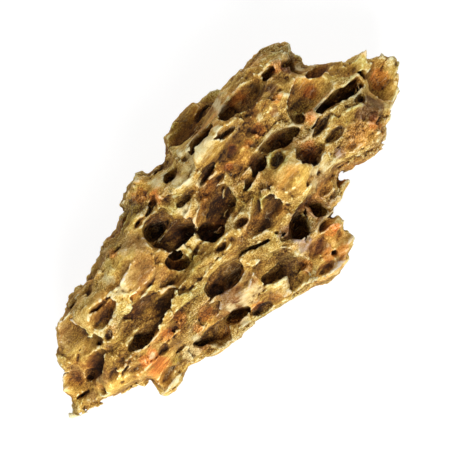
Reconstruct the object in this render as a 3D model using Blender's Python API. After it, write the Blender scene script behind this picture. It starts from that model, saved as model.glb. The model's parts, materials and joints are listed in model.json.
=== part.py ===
"""An aquarium dragon stone: weathered clay rock, eaten into pits, slots and sharp crests.

The stone is one solid, lying on its broad side. Lengths are in millimetres until the mesh is made.
X runs along the stone, Y across it and Z up from the surface that it lies on. Its shape is worked out
as a field, below zero inside the stone, on a grid of points, and the field's zero surface is the mesh.
"""

import math

import bmesh
import bpy
import numpy as np

MM = 0.001

# Sizes of the whole stone
LENGTH = 250.0
WIDEST_AT = 27.0  # height at which the stone is as wide as its outline
OUTLINE_SPARE = 0.8  # how much wider the body is there, for what its hollows take away
TOP = 63.0  # height of the upper side, before its humps and hollows
SHOULDER = 16.0  # how far the sides draw in above the widest height
SHOULDER_RISE = 42.0  # the rise over which they do
BELLY, BELLY_SHARE = 21.0, 0.92  # how far they draw in below it, and how much of a quarter circle that is
UPPER_ROUNDING, LOWER_ROUNDING = 4.0, 3.0  # how round the edges of the upper side and the underside are
ARCH = 5.0  # how far the underside stands off the floor between its feet
FOOT_PRESS = 3.0  # how far the feet would reach below the floor
FEET = ((-72, 8, 17), (-18, -20, 17), (40, 24, 18), (68, -12, 16), (-20, 26, 13))  # x, y, radius

# The outline seen from above, anticlockwise from the left tip
OUTLINE = (
    (-125.0, -2.8), (-90.0, -17.0), (-88.6, -19.6), (-85.3, -19.8), (-83.6, -22.0), (-85.0, -26.0),
    (-87.6, -30.2), (-85.4, -32.8), (-78.2, -34.2), (-74.6, -33.4), (-66.5, -30.5), (-57.0, -34.8),
    (-52.5, -38.3), (-38.0, -42.5), (-34.5, -41.8), (-30.0, -42.2), (-14.5, -47.2), (8.0, -54.7),
    (14.0, -58.2), (19.5, -59.3), (29.0, -57.7), (39.3, -52.4), (39.5, -46.2), (42.6, -42.2),
    (42.2, -39.4), (40.2, -37.4), (44.4, -36.2), (50.0, -36.3), (59.4, -31.2), (56.2, -28.0),
    (56.8, -26.4), (60.2, -25.9), (70.0, -30.9), (84.0, -33.6), (91.0, -31.6), (92.4, -28.6),
    (111.6, -20.8), (123.5, -9.7), (124.8, -7.2), (123.4, -5.0), (120.0, -2.8), (120.2, -1.4),
    (115.6, 2.7), (117.2, 6.0), (103.6, 11.2), (94.5, 21.9), (91.6, 23.8), (92.9, 28.4),
    (92.2, 33.6), (93.7, 37.2), (92.2, 39.8), (80.6, 47.0), (78.0, 48.4), (65.0, 48.0),
    (56.0, 49.2), (51.0, 52.4), (42.0, 53.6), (33.0, 55.9), (24.0, 57.0), (16.0, 55.3),
    (11.4, 51.9), (5.4, 46.4), (-1.0, 48.2), (-5.3, 48.3), (-5.8, 53.0), (-9.4, 56.0),
    (-26.7, 50.2), (-28.5, 46.6), (-35.0, 45.8), (-37.7, 44.3), (-46.5, 44.2), (-51.5, 41.0),
    (-65.0, 39.4), (-70.5, 38.2), (-80.2, 38.7), (-95.2, 34.8), (-108.9, 21.9), (-111.3, 15.3),
    (-118.5, 9.4), (-118.4, 4.0), (-123.2, -0.4),
)

# Humps of the upper side, and with a negative rise its lower parts: x, y, half length, half width,
# heading in degrees, rise
HUMPS = (
    (-58, 21, 30, 15, 0, 9), (-100, 20, 17, 17, 0, -9), (-60, 44, 38, 7.5, 6, -17),
    (-14, 46, 15, 9, 8, -5), (19, 35.5, 29, 7.5, -1, 10), (33, 53, 27, 11, -3, -27),
    (62, 46, 27, 5, 0, 7), (84, 40, 10, 9, 0, 8), (42, -7, 15, 13, 0, 9),
    (-30, -5, 48, 6, 0, 6), (-40, -35, 48, 11, -12, -12), (28, -47, 19, 13, 0, -14),
    (48, -28, 13, 8, 10, -10), (112, -12, 14, 14, 0, -16), (90, 27, 7, 7, 0, -22),
    (-116, 2, 15, 13, 0, -16), (66, 25, 15, 8, 0, 6), (100, 12, 12, 8, -25, -8),
    (-126, 0, 30, 70, 0, -9), (126, 0, 30, 70, 0, -9), (-66, -30, 34, 16, 0, -8),
    (30, 10, 45, 40, 0, 5),
)
# Places where the underside rises from the floor, in the same terms
HOLLOWS_BENEATH = (
    (-128, 0, 32, 70, 0, 13), (128, 0, 34, 70, 0, 11), (20, -60, 40, 17, 0, 10), (-60, 50, 60, 17, 0, 12),
    (60, 52, 40, 16, 0, 13), (-80, -38, 24, 12, 0, 7),
)

# Pits seen from above: x, y, half length, half width, heading in degrees, depth. Holes are undercut.
HOLES = (
    (-84.0, 14.2, 3.6, 1.6, 82, 13), (-59.0, -0.8, 17.4, 5.6, 3, 9), (-54.4, 11.9, 4.0, 1.5, -8, 7),
    (-21.8, 28.8, 7.0, 4.2, -5, 22), (-19.0, 16.6, 9.8, 4.8, 6, 24), (-15.2, 30.6, 1.6, 1.2, 0, 7),
    (-29.2, 9.4, 5.6, 4.4, -15, 12), (-6.0, 6.5, 6.0, 7.2, 20, 24), (14.8, 27.2, 6.2, 1.6, 4, 9),
    (36.5, 32.4, 8.0, 1.6, -18, 9), (45.5, 38.0, 6.0, 4.6, 10, 18), (72.4, 36.0, 4.4, 2.8, 20, 11),
    (51.5, 9.6, 10.5, 3.6, -17, 24), (36.0, 10.4, 5.6, 3.6, 22, 14), (26.5, 7.2, 4.6, 2.0, 12, 9),
    (84.0, 2.4, 9.0, 2.6, -10, 26), (95.5, -1.4, 8.4, 3.2, -10, 22), (105.8, -1.1, 3.9, 2.3, -50, 10),
    (55.4, -7.4, 6.0, 5.4, -20, 15), (94.0, -10.0, 2.8, 1.7, 8, 7), (27.4, -26.2, 9.2, 4.6, 38, 30),
    (38.0, -29.0, 5.0, 4.4, 70, 20), (4.4, -35.2, 12.0, 4.4, -21, 20), (-26.5, -14.6, 4.8, 4.4, -8, 13),
    (-18.6, -21.6, 5.4, 1.5, -4, 12), (-30.6, -32.6, 8.2, 2.6, -14, 17), (-18.8, -40.6, 5.4, 2.8, -26, 10),
    (-52.0, -29.8, 4.4, 2.2, -32, 10), (16.8, -51.6, 6.4, 2.0, -4, 9), (26.6, -49.6, 1.4, 1.2, 0, 6),
    (27.0, 40.4, 8.2, 3.0, 2, 20), (43.5, 48.6, 11.5, 2.6, 7, 18), (-62.0, 38.0, 4.6, 2.4, 0, 14),
    (74.6, -28.4, 2.8, 1.3, -5, 7), (83.0, 31.6, 4.6, 2.4, -10, 12), (-102.0, 4.4, 4.4, 3.0, 0, 9),
    (-62.0, -22.0, 2.8, 1.1, -4, 5), (-57.0, -13.2, 4.4, 0.9, -3, 4), (-113.4, -0.6, 3.2, 0.9, -14, 3),
    (87.6, 37.8, 1.7, 0.8, 0, 4), (34.0, -36.6, 4.8, 1.5, -4, 9), (-71.0, 33.4, 3.2, 1.4, 30, 7),
    (3.0, 38.4, 4.8, 2.5, 4, 13), (-72.0, 22.6, 6.4, 1.4, -12, 8), (28.6, -2.8, 1.4, 0.9, 0, 3),
    (43.0, -16.2, 2.2, 1.0, 20, 3), (39.0, -10.8, 1.0, 0.8, 0, 3), (77.0, 26.2, 1.8, 1.4, 42, 5),
    (-69.5, -2.4, 7.4, 4.4, 4, 18),
)
BOWLS = (
    (-96.6, 5.2, 8.6, 5.2, 2, 9), (-73.5, 18.6, 9.8, 5.4, -2, 9), (-79.0, 10.8, 5.4, 1.6, 12, 6),
    (-63.0, 4.2, 17.0, 5.8, 5, 7), (-21.0, 21.8, 11.2, 8.6, -40, 18), (-23.4, 4.2, 9.6, 1.5, 3, 4),
    (3.0, 10.2, 15.6, 7.8, 10, 13), (13.2, 8.2, 3.8, 3.0, 20, 12), (10.0, 21.0, 10.6, 4.2, -2, 8),
    (-3.3, 27.4, 6.2, 2.3, -8, 6), (-9.0, 32.6, 4.4, 2.2, 4, 5),
    (31.0, 22.8, 4.6, 3.6, -36, 3), (56.0, 37.6, 14.0, 6.6, -4, 11), (57.0, 34.4, 8.0, 3.0, -8, 10),
    (91.8, 18.2, 9.2, 4.4, -14, 12), (80.0, 13.2, 16.0, 7.6, -7, 9), (66.8, 10.6, 3.8, 4.8, -30, 12),
    (90.0, 1.0, 14.5, 2.8, -11, 11), (70.5, -0.9, 8.8, 2.6, 5, 8),
    (57.5, -6.4, 10.0, 6.0, -10, 10), (71.0, -10.2, 7.0, 2.7, -6, 5), (33.0, -28.0, 12.4, 8.0, 6, 12),
    (3.0, -31.4, 11.8, 7.4, -16, 10), (3.2, -44.4, 6.8, 4.8, 0, 14), (-19.6, -16.0, 12.2, 6.2, -6, 10),
    (-42.0, -21.6, 12.4, 3.8, -3, 7), (-66.6, -16.6, 3.8, 3.0, -30, 5), (-45.0, -32.4, 8.0, 5.6, -20, 11),
    (18.6, -9.4, 13.5, 4.8, 14, 6), (8.0, -3.0, 5.2, 3.2, -12, 7), (19.0, -3.4, 9.0, 2.0, 25, 7),
    (-8.6, -4.2, 6.4, 1.7, -24, 7), (43.0, 4.4, 6.0, 3.4, 12, 7), (-84.6, -5.0, 7.2, 2.4, 38, 3),
    (-88.0, -8.8, 7.0, 1.1, 5, 4), (-82.6, -12.4, 6.0, 2.0, -14, 4), (-94.6, -10.8, 3.6, 0.8, 8, 2),
    (-17.0, 36.9, 7.2, 1.4, 18, 6), (-27.0, 35.2, 4.6, 1.6, -6, 6), (-47.0, 35.8, 5.4, 1.4, -16, 4),
    (-44.0, 40.4, 5.4, 1.7, -20, 6), (-1.0, 46.4, 5.0, 1.5, -8, 6), (68.0, -26.8, 6.0, 1.4, 4, 5),
    (-82.0, 35.4, 6.4, 1.5, 2, 6), (-2.0, -5.4, 3.2, 2.6, -30, 6), (14.0, 39.6, 5.0, 1.4, -8, 4),
    (84.0, 27.6, 6.4, 3.4, 10, 9), (-38.5, 42.8, 13.5, 4.2, -7, 6),
)
# Broad shallow facets, in the same terms
SCOOPS = (
    (-96.0, 22.0, 15.0, 11.0, 0, 3.0), (-97.0, -6.2, 6.0, 2.2, 0, 1.5), (-106.0, -5.6, 8.0, 2.4, -20, 1.5),
    (-120.0, -1.8, 5.0, 1.7, -4, 1.4), (-58.0, 28.0, 13.0, 5.0, 3, 1.6), (-42.0, 21.0, 10.0, 9.0, 0, 1.6),
    (-12.0, -30.0, 6.0, 1.8, 6, 1.4), (-38.2, -2.8, 4.2, 2.2, 20, 2.2), (-44.0, -12.6, 9.0, 3.0, -4, 1.8),
    (45.0, 22.5, 4.4, 2.6, 0, 2.0), (73.5, -21.8, 4.4, 1.9, -6, 2.0), (108.0, -12.6, 13.5, 6.4, 38, 2.8),
    (35.0, -46.6, 4.6, 3.4, 30, 2.6), (23.0, -42.0, 6.0, 3.5, 20, 2.6), (-53.8, -35.2, 4.6, 2.4, -26, 2.2),
    (-87.3, -18.2, 2.4, 2.0, 0, 1.0), (-77.0, -27.5, 8.0, 3.0, 2, 2.2), (51.0, -25.0, 9.0, 2.6, 2, 2.0),
    (50.0, -30.6, 6.0, 2.0, 4, 1.6),
    (24.0, 49.0, 13.0, 6.0, 4, 3.4), (72.0, 44.0, 5.0, 3.4, 0, 2.2), (-52.0, -18.0, 12.0, 2.4, -2, 1.8),
    (105.0, 5.8, 4.2, 3.8, 0, 2.0), (84.0, -26.0, 5.2, 2.8, 0, 2.0), (-20.0, -25.4, 11.0, 2.6, 1, 1.6),
    (-76.0, 31.2, 5.4, 2.2, 10, 1.4), (93.0, -16.0, 6.4, 3.4, 4, 1.6), (60.0, -16.6, 8.0, 2.0, 0, 1.4),
)
# How deep the middle of a pit of each table lies, as a share of the pit's depth
HOLE_SINK, BOWL_SINK, SCOOP_SINK = 0.25, 0.0, -1.0
PIT_TABLES = ((HOLES, HOLE_SINK), (BOWLS, BOWL_SINK), (SCOOPS, SCOOP_SINK))

# How far a pit runs towards -X and -Y for each unit of its depth, and where that starts and ends
# as its distance in from the outline grows
LEAN_X, LEAN_Y = -0.22, -0.42
LEAN_FROM, LEAN_FULL = 10.0, 25.0
LEAN_BELOW = 3.5  # its wall is straight down to here

# The power of a pit's rounded shape, where 1 is a diamond and 2 an ellipse: for a pit of no width, and how
# much more it is for each millimetre of its half width
SLOT_POWER, POWER_GAIN, MOST_POWER = 1.3, 0.14, 2.1

# The ground swells up to the rim of a pit
SWELL_LEAST, SWELL_SHARE, SWELL_REACH = 0.3, 0.08, 2.0

# Pits of the sides and the underside, placed at random
SIDE_PITS, SIDE_PIT_SEED = 120, 5
SIDE_PIT_HALF_WIDTHS = (2.8, 7.5)
SIDE_PIT_STRETCH = (1.3, 2.6)  # their half length for each unit of half width
SIDE_PIT_DEPTHS = (0.8, 2.2)  # their depth, in the same way
SIDE_PIT_TURN = math.radians(14)  # how much their headings vary
BOWL_ODDS = 0.6  # the share of them that isn't undercut
SIDE_PIT_REACH = 100.0  # how far along the stone they go, either way
AXIS_Y, AXIS_SLOPE, AXIS_HEIGHT = 6.0, -0.04, 31.0  # the line in the stone that they face away from
OUTLINE_REACH = 80.0  # further than the surface is from that line, straight across
STEEPEST_UP = 0.05  # the upper side has only the pits listed above

# Noise that makes the ground uneven, and that bends the pits and the scales: size, height and seed
UNEVEN = ((22.0, 11.0, 11.0), 1.0, 1)
SWAYS = (((12.0, 8.0, 8.0), 1.7, 10), ((4.5, 3.0, 3.0), 0.9, 20))

# Scale-like hollows of two sizes that cover the whole surface: their size, their depth at the sides and on
# the upper side, their tilt and seed
SCALES = (
    ((23.0, 12.5, 11.5), 7.0, 6.0, (-0.55, -0.45, 0.0), 31),
    ((12.5, 6.2, 6.0), 4.2, 3.8, (-0.6, -0.5, 0.0), 33),
)
UPPER_FROM, UPPER_FULL = 28.0, 42.0  # heights at which the upper side starts, and is all there is
SCALE_DEPTH, BOWL = 0.19, 0.3  # how deep their middles are, and how bowl-like: with 0 they would be flat
CREST = 0.9  # how far their crests stand out
PATCHY = ((26.0, 18.0, 18.0), 0.6, 40)  # noise that varies their depth from place to place
MEAN_STRENGTH, LEAST_STRENGTH, MOST_STRENGTH = 0.9, 0.25, 1.5
FADE_HEIGHT = 9.0  # they fade out below this height, so that the feet stay whole
# Smooth places: x, y, radius
CALM_PLACES = (
    (-45, 22, 17), (-97, 22, 17), (-74, 26, 9), (109, -12, 13), (30, 52, 20), (-76, -20, 10), (-20, -26, 9),
    (6, 35, 7), (17, 36, 7), (30, 36, 7), (40, -8, 11), (28, -48, 10), (-98, -10, 9), (84, 14, 9),
    (-8, 42, 6), (33, 22, 9), (22, 30, 6), (-113, 7, 9), (-88, -15, 7), (18, -9, 8), (104, -17, 8),
    (93, 14, 8),
)
CALMEST = 0.2  # how deep they are there, as a share of their depth elsewhere
# How much shallower they are along the outline, and how far from it that is so, inwards and upwards
EDGE_CALM, EDGE_WIDTH, EDGE_HEIGHT = 0.7, 6.0, 8.0

# The grid, the box of the scales' random cells, and the number of triangles of the finished solid
GRID_STEP = 2.0
GRID_LOW = (-132.0, -66.0, -8.0)
GRID_HIGH = (130.0, 64.0, 88.0)
CELLS_LOW = (-134.0, -68.0, -10.0)
CELLS_HIGH = (131.0, 65.0, 89.0)
TRIANGLES = 9300

PIT_SHARE = 0.3  # how deep the hollows are on a pit's wall, as a share of their depth elsewhere
PIT_CREST = 1.5  # how far crests stand out there, before that share is taken
DENT_REACH = 6.0  # how far from the surface the hollows are worked out
FAR = 60.0  # further than any place is from a pit

SLAB = (0.4, 0.3, 0.05)  # the cutter that flattens the feet, in metres

STONE_COLOUR = (0.32, 0.18, 0.06, 1.0)


def clear_scene():
    for old in list(bpy.data.objects):
        bpy.data.objects.remove(old, do_unlink=True)


def spline_weights(places, low, high, gap):
    """One row for each place, with the cubic spline weights of the lattice values round it."""
    along = (places - low) / gap
    first = np.floor(along).astype(int)
    f = along - first
    shares = ((1 - f) ** 3, 3 * f**3 - 6 * f**2 + 4, 3 * f - 3 * f**3 + 3 * f**2 + 1, f**3)
    weights = np.zeros((len(places), int((high - low) / gap) + 4))
    for k, share in enumerate(shares):
        weights[np.arange(len(places)), first + k] = share / 6
    return weights


def smooth_noise(axes, gaps, seed):
    """Smooth noise from about -1 to 1 on the grid, from random values on a coarser lattice."""
    weights = [spline_weights(*ends) for ends in zip(axes, GRID_LOW, GRID_HIGH, gaps)]
    values = np.random.default_rng(seed).uniform(-2, 2, [w.shape[1] for w in weights])
    for axis, weight in enumerate(weights):
        values = np.moveaxis(np.tensordot(weight, values, (1, axis)), 0, axis)
    return values


def turned(x, y, heading):
    """The place (x, y) along and across a line with this heading in degrees."""
    c = math.cos(math.radians(heading))
    s = math.sin(math.radians(heading))
    return x * c + y * s, y * c - x * s


def distance_inside(x, y):
    """Distance in from the outline; negative outside it."""
    x, y = np.broadcast_arrays(x, y)
    nearest = np.full(x.shape, np.inf)
    inside = np.zeros(x.shape, bool)
    for (ax, ay), (bx, by) in zip(OUTLINE, OUTLINE[1:] + OUTLINE[:1]):
        ex, ey = bx - ax, by - ay
        share = np.clip(((x - ax) * ex + (y - ay) * ey) / (ex**2 + ey**2), 0, 1)
        nearest = np.minimum(nearest, np.hypot(x - ax - share * ex, y - ay - share * ey))
        if ey:
            inside ^= ((ay > y) != (by > y)) & (x < ax + ex * (y - ay) / ey)
    return np.where(inside, nearest, -nearest)


def bump(x, y, along, across, heading):
    """A flat-topped swelling, 1 at the middle."""
    u, v = turned(x, y, heading)
    return np.exp(-(((u / along) ** 2 + (v / across) ** 2) ** 2))


def upper_height(x, y):
    """Height of the upper side, with its humps and the swellings round its pits."""
    height = TOP
    for hx, hy, along, across, turn, rise in HUMPS:
        height = height + rise * bump(x - hx, y - hy, along, across, turn)
    swell = 0
    for px, py, a, b, turn, _ in HOLES + BOWLS:
        rim = bump(x - px, y - py, a + SWELL_REACH, b + SWELL_REACH, turn)
        swell = np.maximum(swell, (SWELL_LEAST + SWELL_SHARE * b) * rim)
    return height + swell


def lower_height(x, y):
    """Height of the underside: an arch, with feet that press a little below the floor."""
    feet = np.zeros(np.broadcast(x, y).shape)
    for fx, fy, radius in FEET:
        feet = np.maximum(feet, np.exp(-((np.hypot(x - fx, y - fy) / radius) ** 3)))
    height = ARCH - (ARCH + FOOT_PRESS) * feet
    for hx, hy, along, across, turn, rise in HOLLOWS_BENEATH:
        height = height + rise * bump(x - hx, y - hy, along, across, turn)
    return height


def smooth_max(a, b, width):
    share = np.clip(0.5 + 0.5 * (a - b) / width, 0, 1)
    return a * share + b * (1 - share) + width * share * (1 - share)


def inset(z):
    """How far the sides draw in at this height."""
    above = np.clip((z - WIDEST_AT) / SHOULDER_RISE, 0, 1)
    below = BELLY_SHARE * np.clip((WIDEST_AT - z) / WIDEST_AT, 0, 1)
    return SHOULDER * (1 - np.sqrt(1 - above**2)) + BELLY * (1 - np.sqrt(1 - below**2))


def body(x, y, z):
    """The stone before its pits. x and y share one shape, which z is broadcast against."""
    sides = inset(z) - distance_inside(x, y) - OUTLINE_SPARE
    top = z - upper_height(x, y)
    return smooth_max(smooth_max(sides, top, UPPER_ROUNDING), lower_height(x, y) - z, LOWER_ROUNDING)


class Pit:
    """A hollow cut out of the stone: part of an ellipsoid that may lean as it goes in."""

    def __init__(self, mouth, frame, along, across, depth, sink, lean=(0.0, 0.0)):
        widest = math.sqrt(1 - (sink / (1 - sink)) ** 2)
        self.mouth = np.array(mouth)
        self.frame = np.array(frame)
        self.half = np.array([along / widest, across / widest, depth * (1 - sink)])
        self.sink = sink * depth
        self.lean = lean
        self.depth = depth
        self.power = min(SLOT_POWER + POWER_GAIN * min(along, across), MOST_POWER)

    def field(self, x, y, z):
        """Distance out of the pit, below zero in it."""
        x, y, z = x - self.mouth[0], y - self.mouth[1], z - self.mouth[2]
        u, v, out = (x * f[0] + y * f[1] + z * f[2] for f in self.frame)
        deep = np.maximum(-out - LEAN_BELOW, 0)
        shift = -deep * self.lean[0], -deep * self.lean[1]
        u = u + shift[0] * self.frame[0, 0] + shift[1] * self.frame[0, 1]
        v = v + shift[0] * self.frame[1, 0] + shift[1] * self.frame[1, 1]
        total, steep = 0, 0
        for offset, half in zip((u, v, out + self.sink), self.half):
            share = np.maximum(np.abs(offset / half), 1e-3)
            total = total + share**self.power
            steep = steep + (share ** (self.power - 1) / half) ** 2
        near = total ** (1 / self.power)
        return (near - 1) * total / np.maximum(near * np.sqrt(steep), 1e-6)

    def block(self, axes, margin=3.0):
        """The part of the grid that the pit can reach."""
        reach = np.sqrt(((self.frame * self.half[:, None]) ** 2).sum(0)) + margin
        middle = self.mouth - self.frame[2] * self.sink
        slip = np.array([*self.lean, 0]) * (self.depth + margin)
        low = np.minimum(middle - reach, middle - reach + slip)
        high = np.maximum(middle + reach, middle + reach + slip)
        ends = [(np.searchsorted(a, lo), np.searchsorted(a, hi)) for a, lo, hi in zip(axes, low, high)]
        return tuple(slice(first, last) for first, last in ends)


def surface_height(x, y):
    """Height at which a drop from above meets the body."""
    z = np.arange(0, GRID_HIGH[2], 0.25)
    solid = body(np.full(1, x), np.full(1, y), z) < 0
    return z[solid].max() if solid.any() else WIDEST_AT


def upright(heading):
    """The directions along, across and up for a heading in degrees."""
    c = math.cos(math.radians(heading))
    s = math.sin(math.radians(heading))
    return (c, s, 0), (-s, c, 0), (0, 0, 1)


def upper_pits(tables):
    pits = []
    for table, sink in tables:
        for x, y, along, across, heading, depth in table:
            room = (float(distance_inside(x, y)) - LEAN_FROM) / (LEAN_FULL - LEAN_FROM)
            lean = (LEAN_X, LEAN_Y * min(max(room, 0), 1)) if sink >= 0 else (0, 0)
            mouth = (x, y, surface_height(x, y))
            pits.append(Pit(mouth, upright(heading), along, across, depth, sink, lean))
    return pits


def outward(place):
    """Direction straight out of the body's surface at a place."""
    ends = []
    for axis in range(3):
        step = np.eye(3)[axis]
        high = body(*(np.full(1, value) for value in place + step))
        low = body(*(np.full(1, value) for value in place - step))
        ends.append(float(high[0] - low[0]))
    return np.array(ends) / np.linalg.norm(ends)


def side_pits():
    """Pits that face out of the sides and the underside."""
    rng = np.random.default_rng(SIDE_PIT_SEED)
    pits = []
    while len(pits) < SIDE_PITS:
        x = rng.uniform(-SIDE_PIT_REACH, SIDE_PIT_REACH)
        start = np.array([x, AXIS_Y + AXIS_SLOPE * x, AXIS_HEIGHT])
        angle = rng.uniform(0, 2 * math.pi)
        ray = np.array([rng.uniform(-0.25, 0.25), math.cos(angle), math.sin(angle)])
        half = rng.uniform(*SIDE_PIT_HALF_WIDTHS)
        along = half * rng.uniform(*SIDE_PIT_STRETCH)
        depth = half * rng.uniform(*SIDE_PIT_DEPTHS)
        heading = rng.normal(0, SIDE_PIT_TURN)
        sink = BOWL_SINK if rng.random() < BOWL_ODDS else HOLE_SINK
        line = start + np.arange(0, OUTLINE_REACH, 0.5)[:, None] * ray / np.linalg.norm(ray)
        solid = body(line[:, 0], line[:, 1], line[:, 2]) < 0
        if not solid[0]:
            continue
        mouth = line[solid.argmin() - 1]
        out = outward(mouth)
        if out[2] > STEEPEST_UP:
            continue
        lengthwise = np.array([math.cos(heading), 0, 0]) + math.sin(heading) * np.cross(out, (1, 0, 0))
        lengthwise -= out * (lengthwise @ out)
        lengthwise /= np.linalg.norm(lengthwise)
        frame = (lengthwise, np.cross(out, lengthwise), out)
        pits.append(Pit(mouth, frame, along, half, depth, sink))
    return pits


def scales(places, size, seed, tilt, bowl):
    """Overlapping hollows that deepen to one side: about 0.5 in the deepest, and -0.5 on the crests."""
    first = np.floor(np.divide(CELLS_LOW, size)).astype(int) - 1
    count = np.floor(np.divide(CELLS_HIGH, size)).astype(int) - first + 2
    scatter = np.random.default_rng(seed).uniform(0.1, 0.9, (*count, 3))
    cells = np.clip(places, CELLS_LOW, CELLS_HIGH) / size - first
    low = np.floor(cells).astype(int) - 1
    nearest = np.full(len(cells), np.inf)
    slope = np.zeros(len(cells))
    for offset in np.ndindex(3, 3, 3):
        cell = low + offset
        gap = cells - cell - scatter[cell[:, 0], cell[:, 1], cell[:, 2]]
        far = (gap**2).sum(1)
        closer = far < nearest
        nearest[closer] = far[closer]
        slope[closer] = (gap @ np.array(tilt))[closer]
    return SCALE_DEPTH - bowl * nearest + slope


def calmness(places, edge):
    """1 where the scales are at full depth, less in the smooth places and along the outline.

    edge is how far each place lies in from the outline.
    """
    rise = places[:, 2] - WIDEST_AT
    calm = 1 - EDGE_CALM * np.exp(-((np.maximum(edge, 0) / EDGE_WIDTH) ** 2) - (rise / EDGE_HEIGHT) ** 2)
    for x, y, radius in CALM_PLACES:
        near = np.exp(-((np.hypot(places[:, 0] - x, places[:, 1] - y) / radius) ** 4))
        calm = np.minimum(calm, 1 - (1 - CALMEST) * near * (places[:, 2] > WIDEST_AT))
    return calm * np.clip(places[:, 2] / FADE_HEIGHT, CALMEST, 1)


def scale_dents(places, calm, strength):
    """How deep the scales of both sizes are at the places."""
    upper = np.clip((places[:, 2] - UPPER_FROM) / (UPPER_FULL - UPPER_FROM), 0, 1)
    dents = np.full(len(places), -np.inf)
    for size, depth, upper_depth, tilt, seed in SCALES:
        depths = depth + (upper_depth - depth) * upper
        dents = np.maximum(dents, depths * scales(places, size, seed, tilt, BOWL))
    return dents * strength * calm


def noise_of(axes, terms):
    size, height, seed = terms
    return height * smooth_noise(axes, size, seed)


def stone_field():
    """(axes, field) of the finished stone on the grid."""
    axes = [np.arange(low, high, GRID_STEP) for low, high in zip(GRID_LOW, GRID_HIGH)]
    x, y, z = axes[0][:, None, None], axes[1][None, :, None], axes[2][None, None, :]
    ground = body(x, y, z) + noise_of(axes, UNEVEN)
    sway = [sum(noise_of(axes, (size, far, seed + k)) for size, far, seed in SWAYS) for k in range(3)]
    hollow = np.full(ground.shape, -FAR)
    for pit in upper_pits(PIT_TABLES) + side_pits():
        i, j, k = part = pit.block(axes)
        out = pit.field(x[i] + sway[0][part], y[:, j] + sway[1][part], z[:, :, k] + sway[2][part])
        hollow[part] = np.maximum(hollow[part], -out)
    field = np.maximum(ground, hollow)
    band = np.nonzero(np.abs(field) < DENT_REACH)
    places = np.stack([a[n] for a, n in zip(axes, band)], 1)
    calm = calmness(places, distance_inside(x[:, :, 0], y[:, :, 0])[band[0], band[1]])
    places += np.stack([s[band] for s in sway], 1)
    strength = np.clip(MEAN_STRENGTH + noise_of(axes, PATCHY)[band], LEAST_STRENGTH, MOST_STRENGTH)
    dents = scale_dents(places, calm, strength)
    in_pits = hollow[band] + PIT_SHARE * np.maximum(dents, -PIT_CREST)
    field[band] = np.maximum(ground[band] + np.maximum(dents, -CREST), in_pits)
    return axes, field


def mend(field):
    """Fills the points where two parts of the surface would meet at only an edge or a corner."""
    low, high = slice(None, -1), slice(1, None)
    whole = slice(None)
    squares = (
        ((low, low, whole), (high, low, whole), (low, high, whole), (high, high, whole)),
        ((low, whole, low), (high, whole, low), (low, whole, high), (high, whole, high)),
        ((whole, low, low), (whole, high, low), (whole, low, high), (whole, high, high)),
    )
    corners = [(i, j, k) for i in (low, high) for j in (low, high) for k in (low, high)]
    filled = True
    while filled:
        filled = False
        for square in squares:
            for one, two, gap, other in ((0, 3, 1, 2), (1, 2, 0, 3)):
                solid = field < 0
                bad = solid[square[one]] & solid[square[two]] & ~solid[square[gap]] & ~solid[square[other]]
                field[square[gap]][bad] = -1e-3
                filled |= bool(bad.any())
        for n in range(4):
            solid = field < 0
            count = sum(solid[corner].astype(int) for corner in corners)
            alone = solid[corners[n]] & solid[corners[7 - n]] & (count == 2)
            holed = ~solid[corners[n]] & ~solid[corners[7 - n]] & (count == 6)
            field[corners[n ^ 4]][alone] = -1e-3
            field[corners[n]][holed] = -1e-3
            filled |= bool(alone.any() or holed.any())


def surface(axes, field):
    """Points and four-sided faces of the field's zero surface, with one point in each cell it crosses."""
    solid = field < 0
    places, cells, faces = [], [], []
    for axis in range(3):
        low = tuple(slice(None, -1) if n == axis else slice(None) for n in range(3))
        high = tuple(slice(1, None) if n == axis else slice(None) for n in range(3))
        at = np.argwhere(solid[low] != solid[high])
        before = field[low][tuple(at.T)]
        after = field[high][tuple(at.T)]
        place = at.astype(float)
        place[:, axis] += before / (before - after)
        ring = []
        for back, down in ((1, 1), (0, 1), (0, 0), (1, 0)):
            cell = at.copy()
            cell[:, (axis + 1) % 3] -= back
            cell[:, (axis + 2) % 3] -= down
            ring.append(np.ravel_multi_index(tuple(cell.T), field.shape))
        ring = np.stack(ring, 1)
        facing = solid[low][tuple(at.T)][:, None]
        faces.append(np.where(facing, ring, ring[:, ::-1]))
        places.append(np.repeat(place, 4, 0))
        cells.append(ring.reshape(-1))
    used, index = np.unique(np.concatenate(cells), return_inverse=True)
    places = np.concatenate(places)
    count = np.bincount(index)
    points = np.stack([np.bincount(index, places[:, n]) / count for n in range(3)], 1)
    return np.array(GRID_LOW) + points * GRID_STEP, np.searchsorted(used, np.concatenate(faces))


def keep_largest(mesh):
    """Deletes every piece of a bmesh but the one with the most faces."""
    left = set(mesh.verts)
    pieces = []
    while left:
        piece = set()
        edge = [left.pop()]
        while edge:
            vertex = edge.pop()
            piece.add(vertex)
            near = {link.other_vert(vertex) for link in vertex.link_edges} & left
            left -= near
            edge.extend(near)
        pieces.append(piece)
    pieces.sort(key=len)
    small = [vertex for piece in pieces[:-1] for vertex in piece]
    bmesh.ops.delete(mesh, geom=small, context="VERTS")


def rough_mesh():
    """The stone's fine-grained mesh, in metres."""
    axes, field = stone_field()
    mend(field)
    points, faces = surface(axes, field)
    mesh = bpy.data.meshes.new("rough_stone")
    mesh.from_pydata(points * MM, [], faces)
    build = bmesh.new()
    build.from_mesh(mesh)
    keep_largest(build)
    bmesh.ops.triangulate(build, faces=build.faces)
    build.to_mesh(mesh)
    build.free()
    return mesh


def floor_cutter():
    """A slab whose top is the floor. It cuts the feet flat."""
    bpy.ops.mesh.primitive_cube_add(size=1, location=(0, 0, -SLAB[2] / 2), scale=SLAB)
    slab = bpy.context.object
    slab.name = "floor_cutter"
    slab.display_type = "WIRE"
    slab.hide_render = True
    return slab


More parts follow.
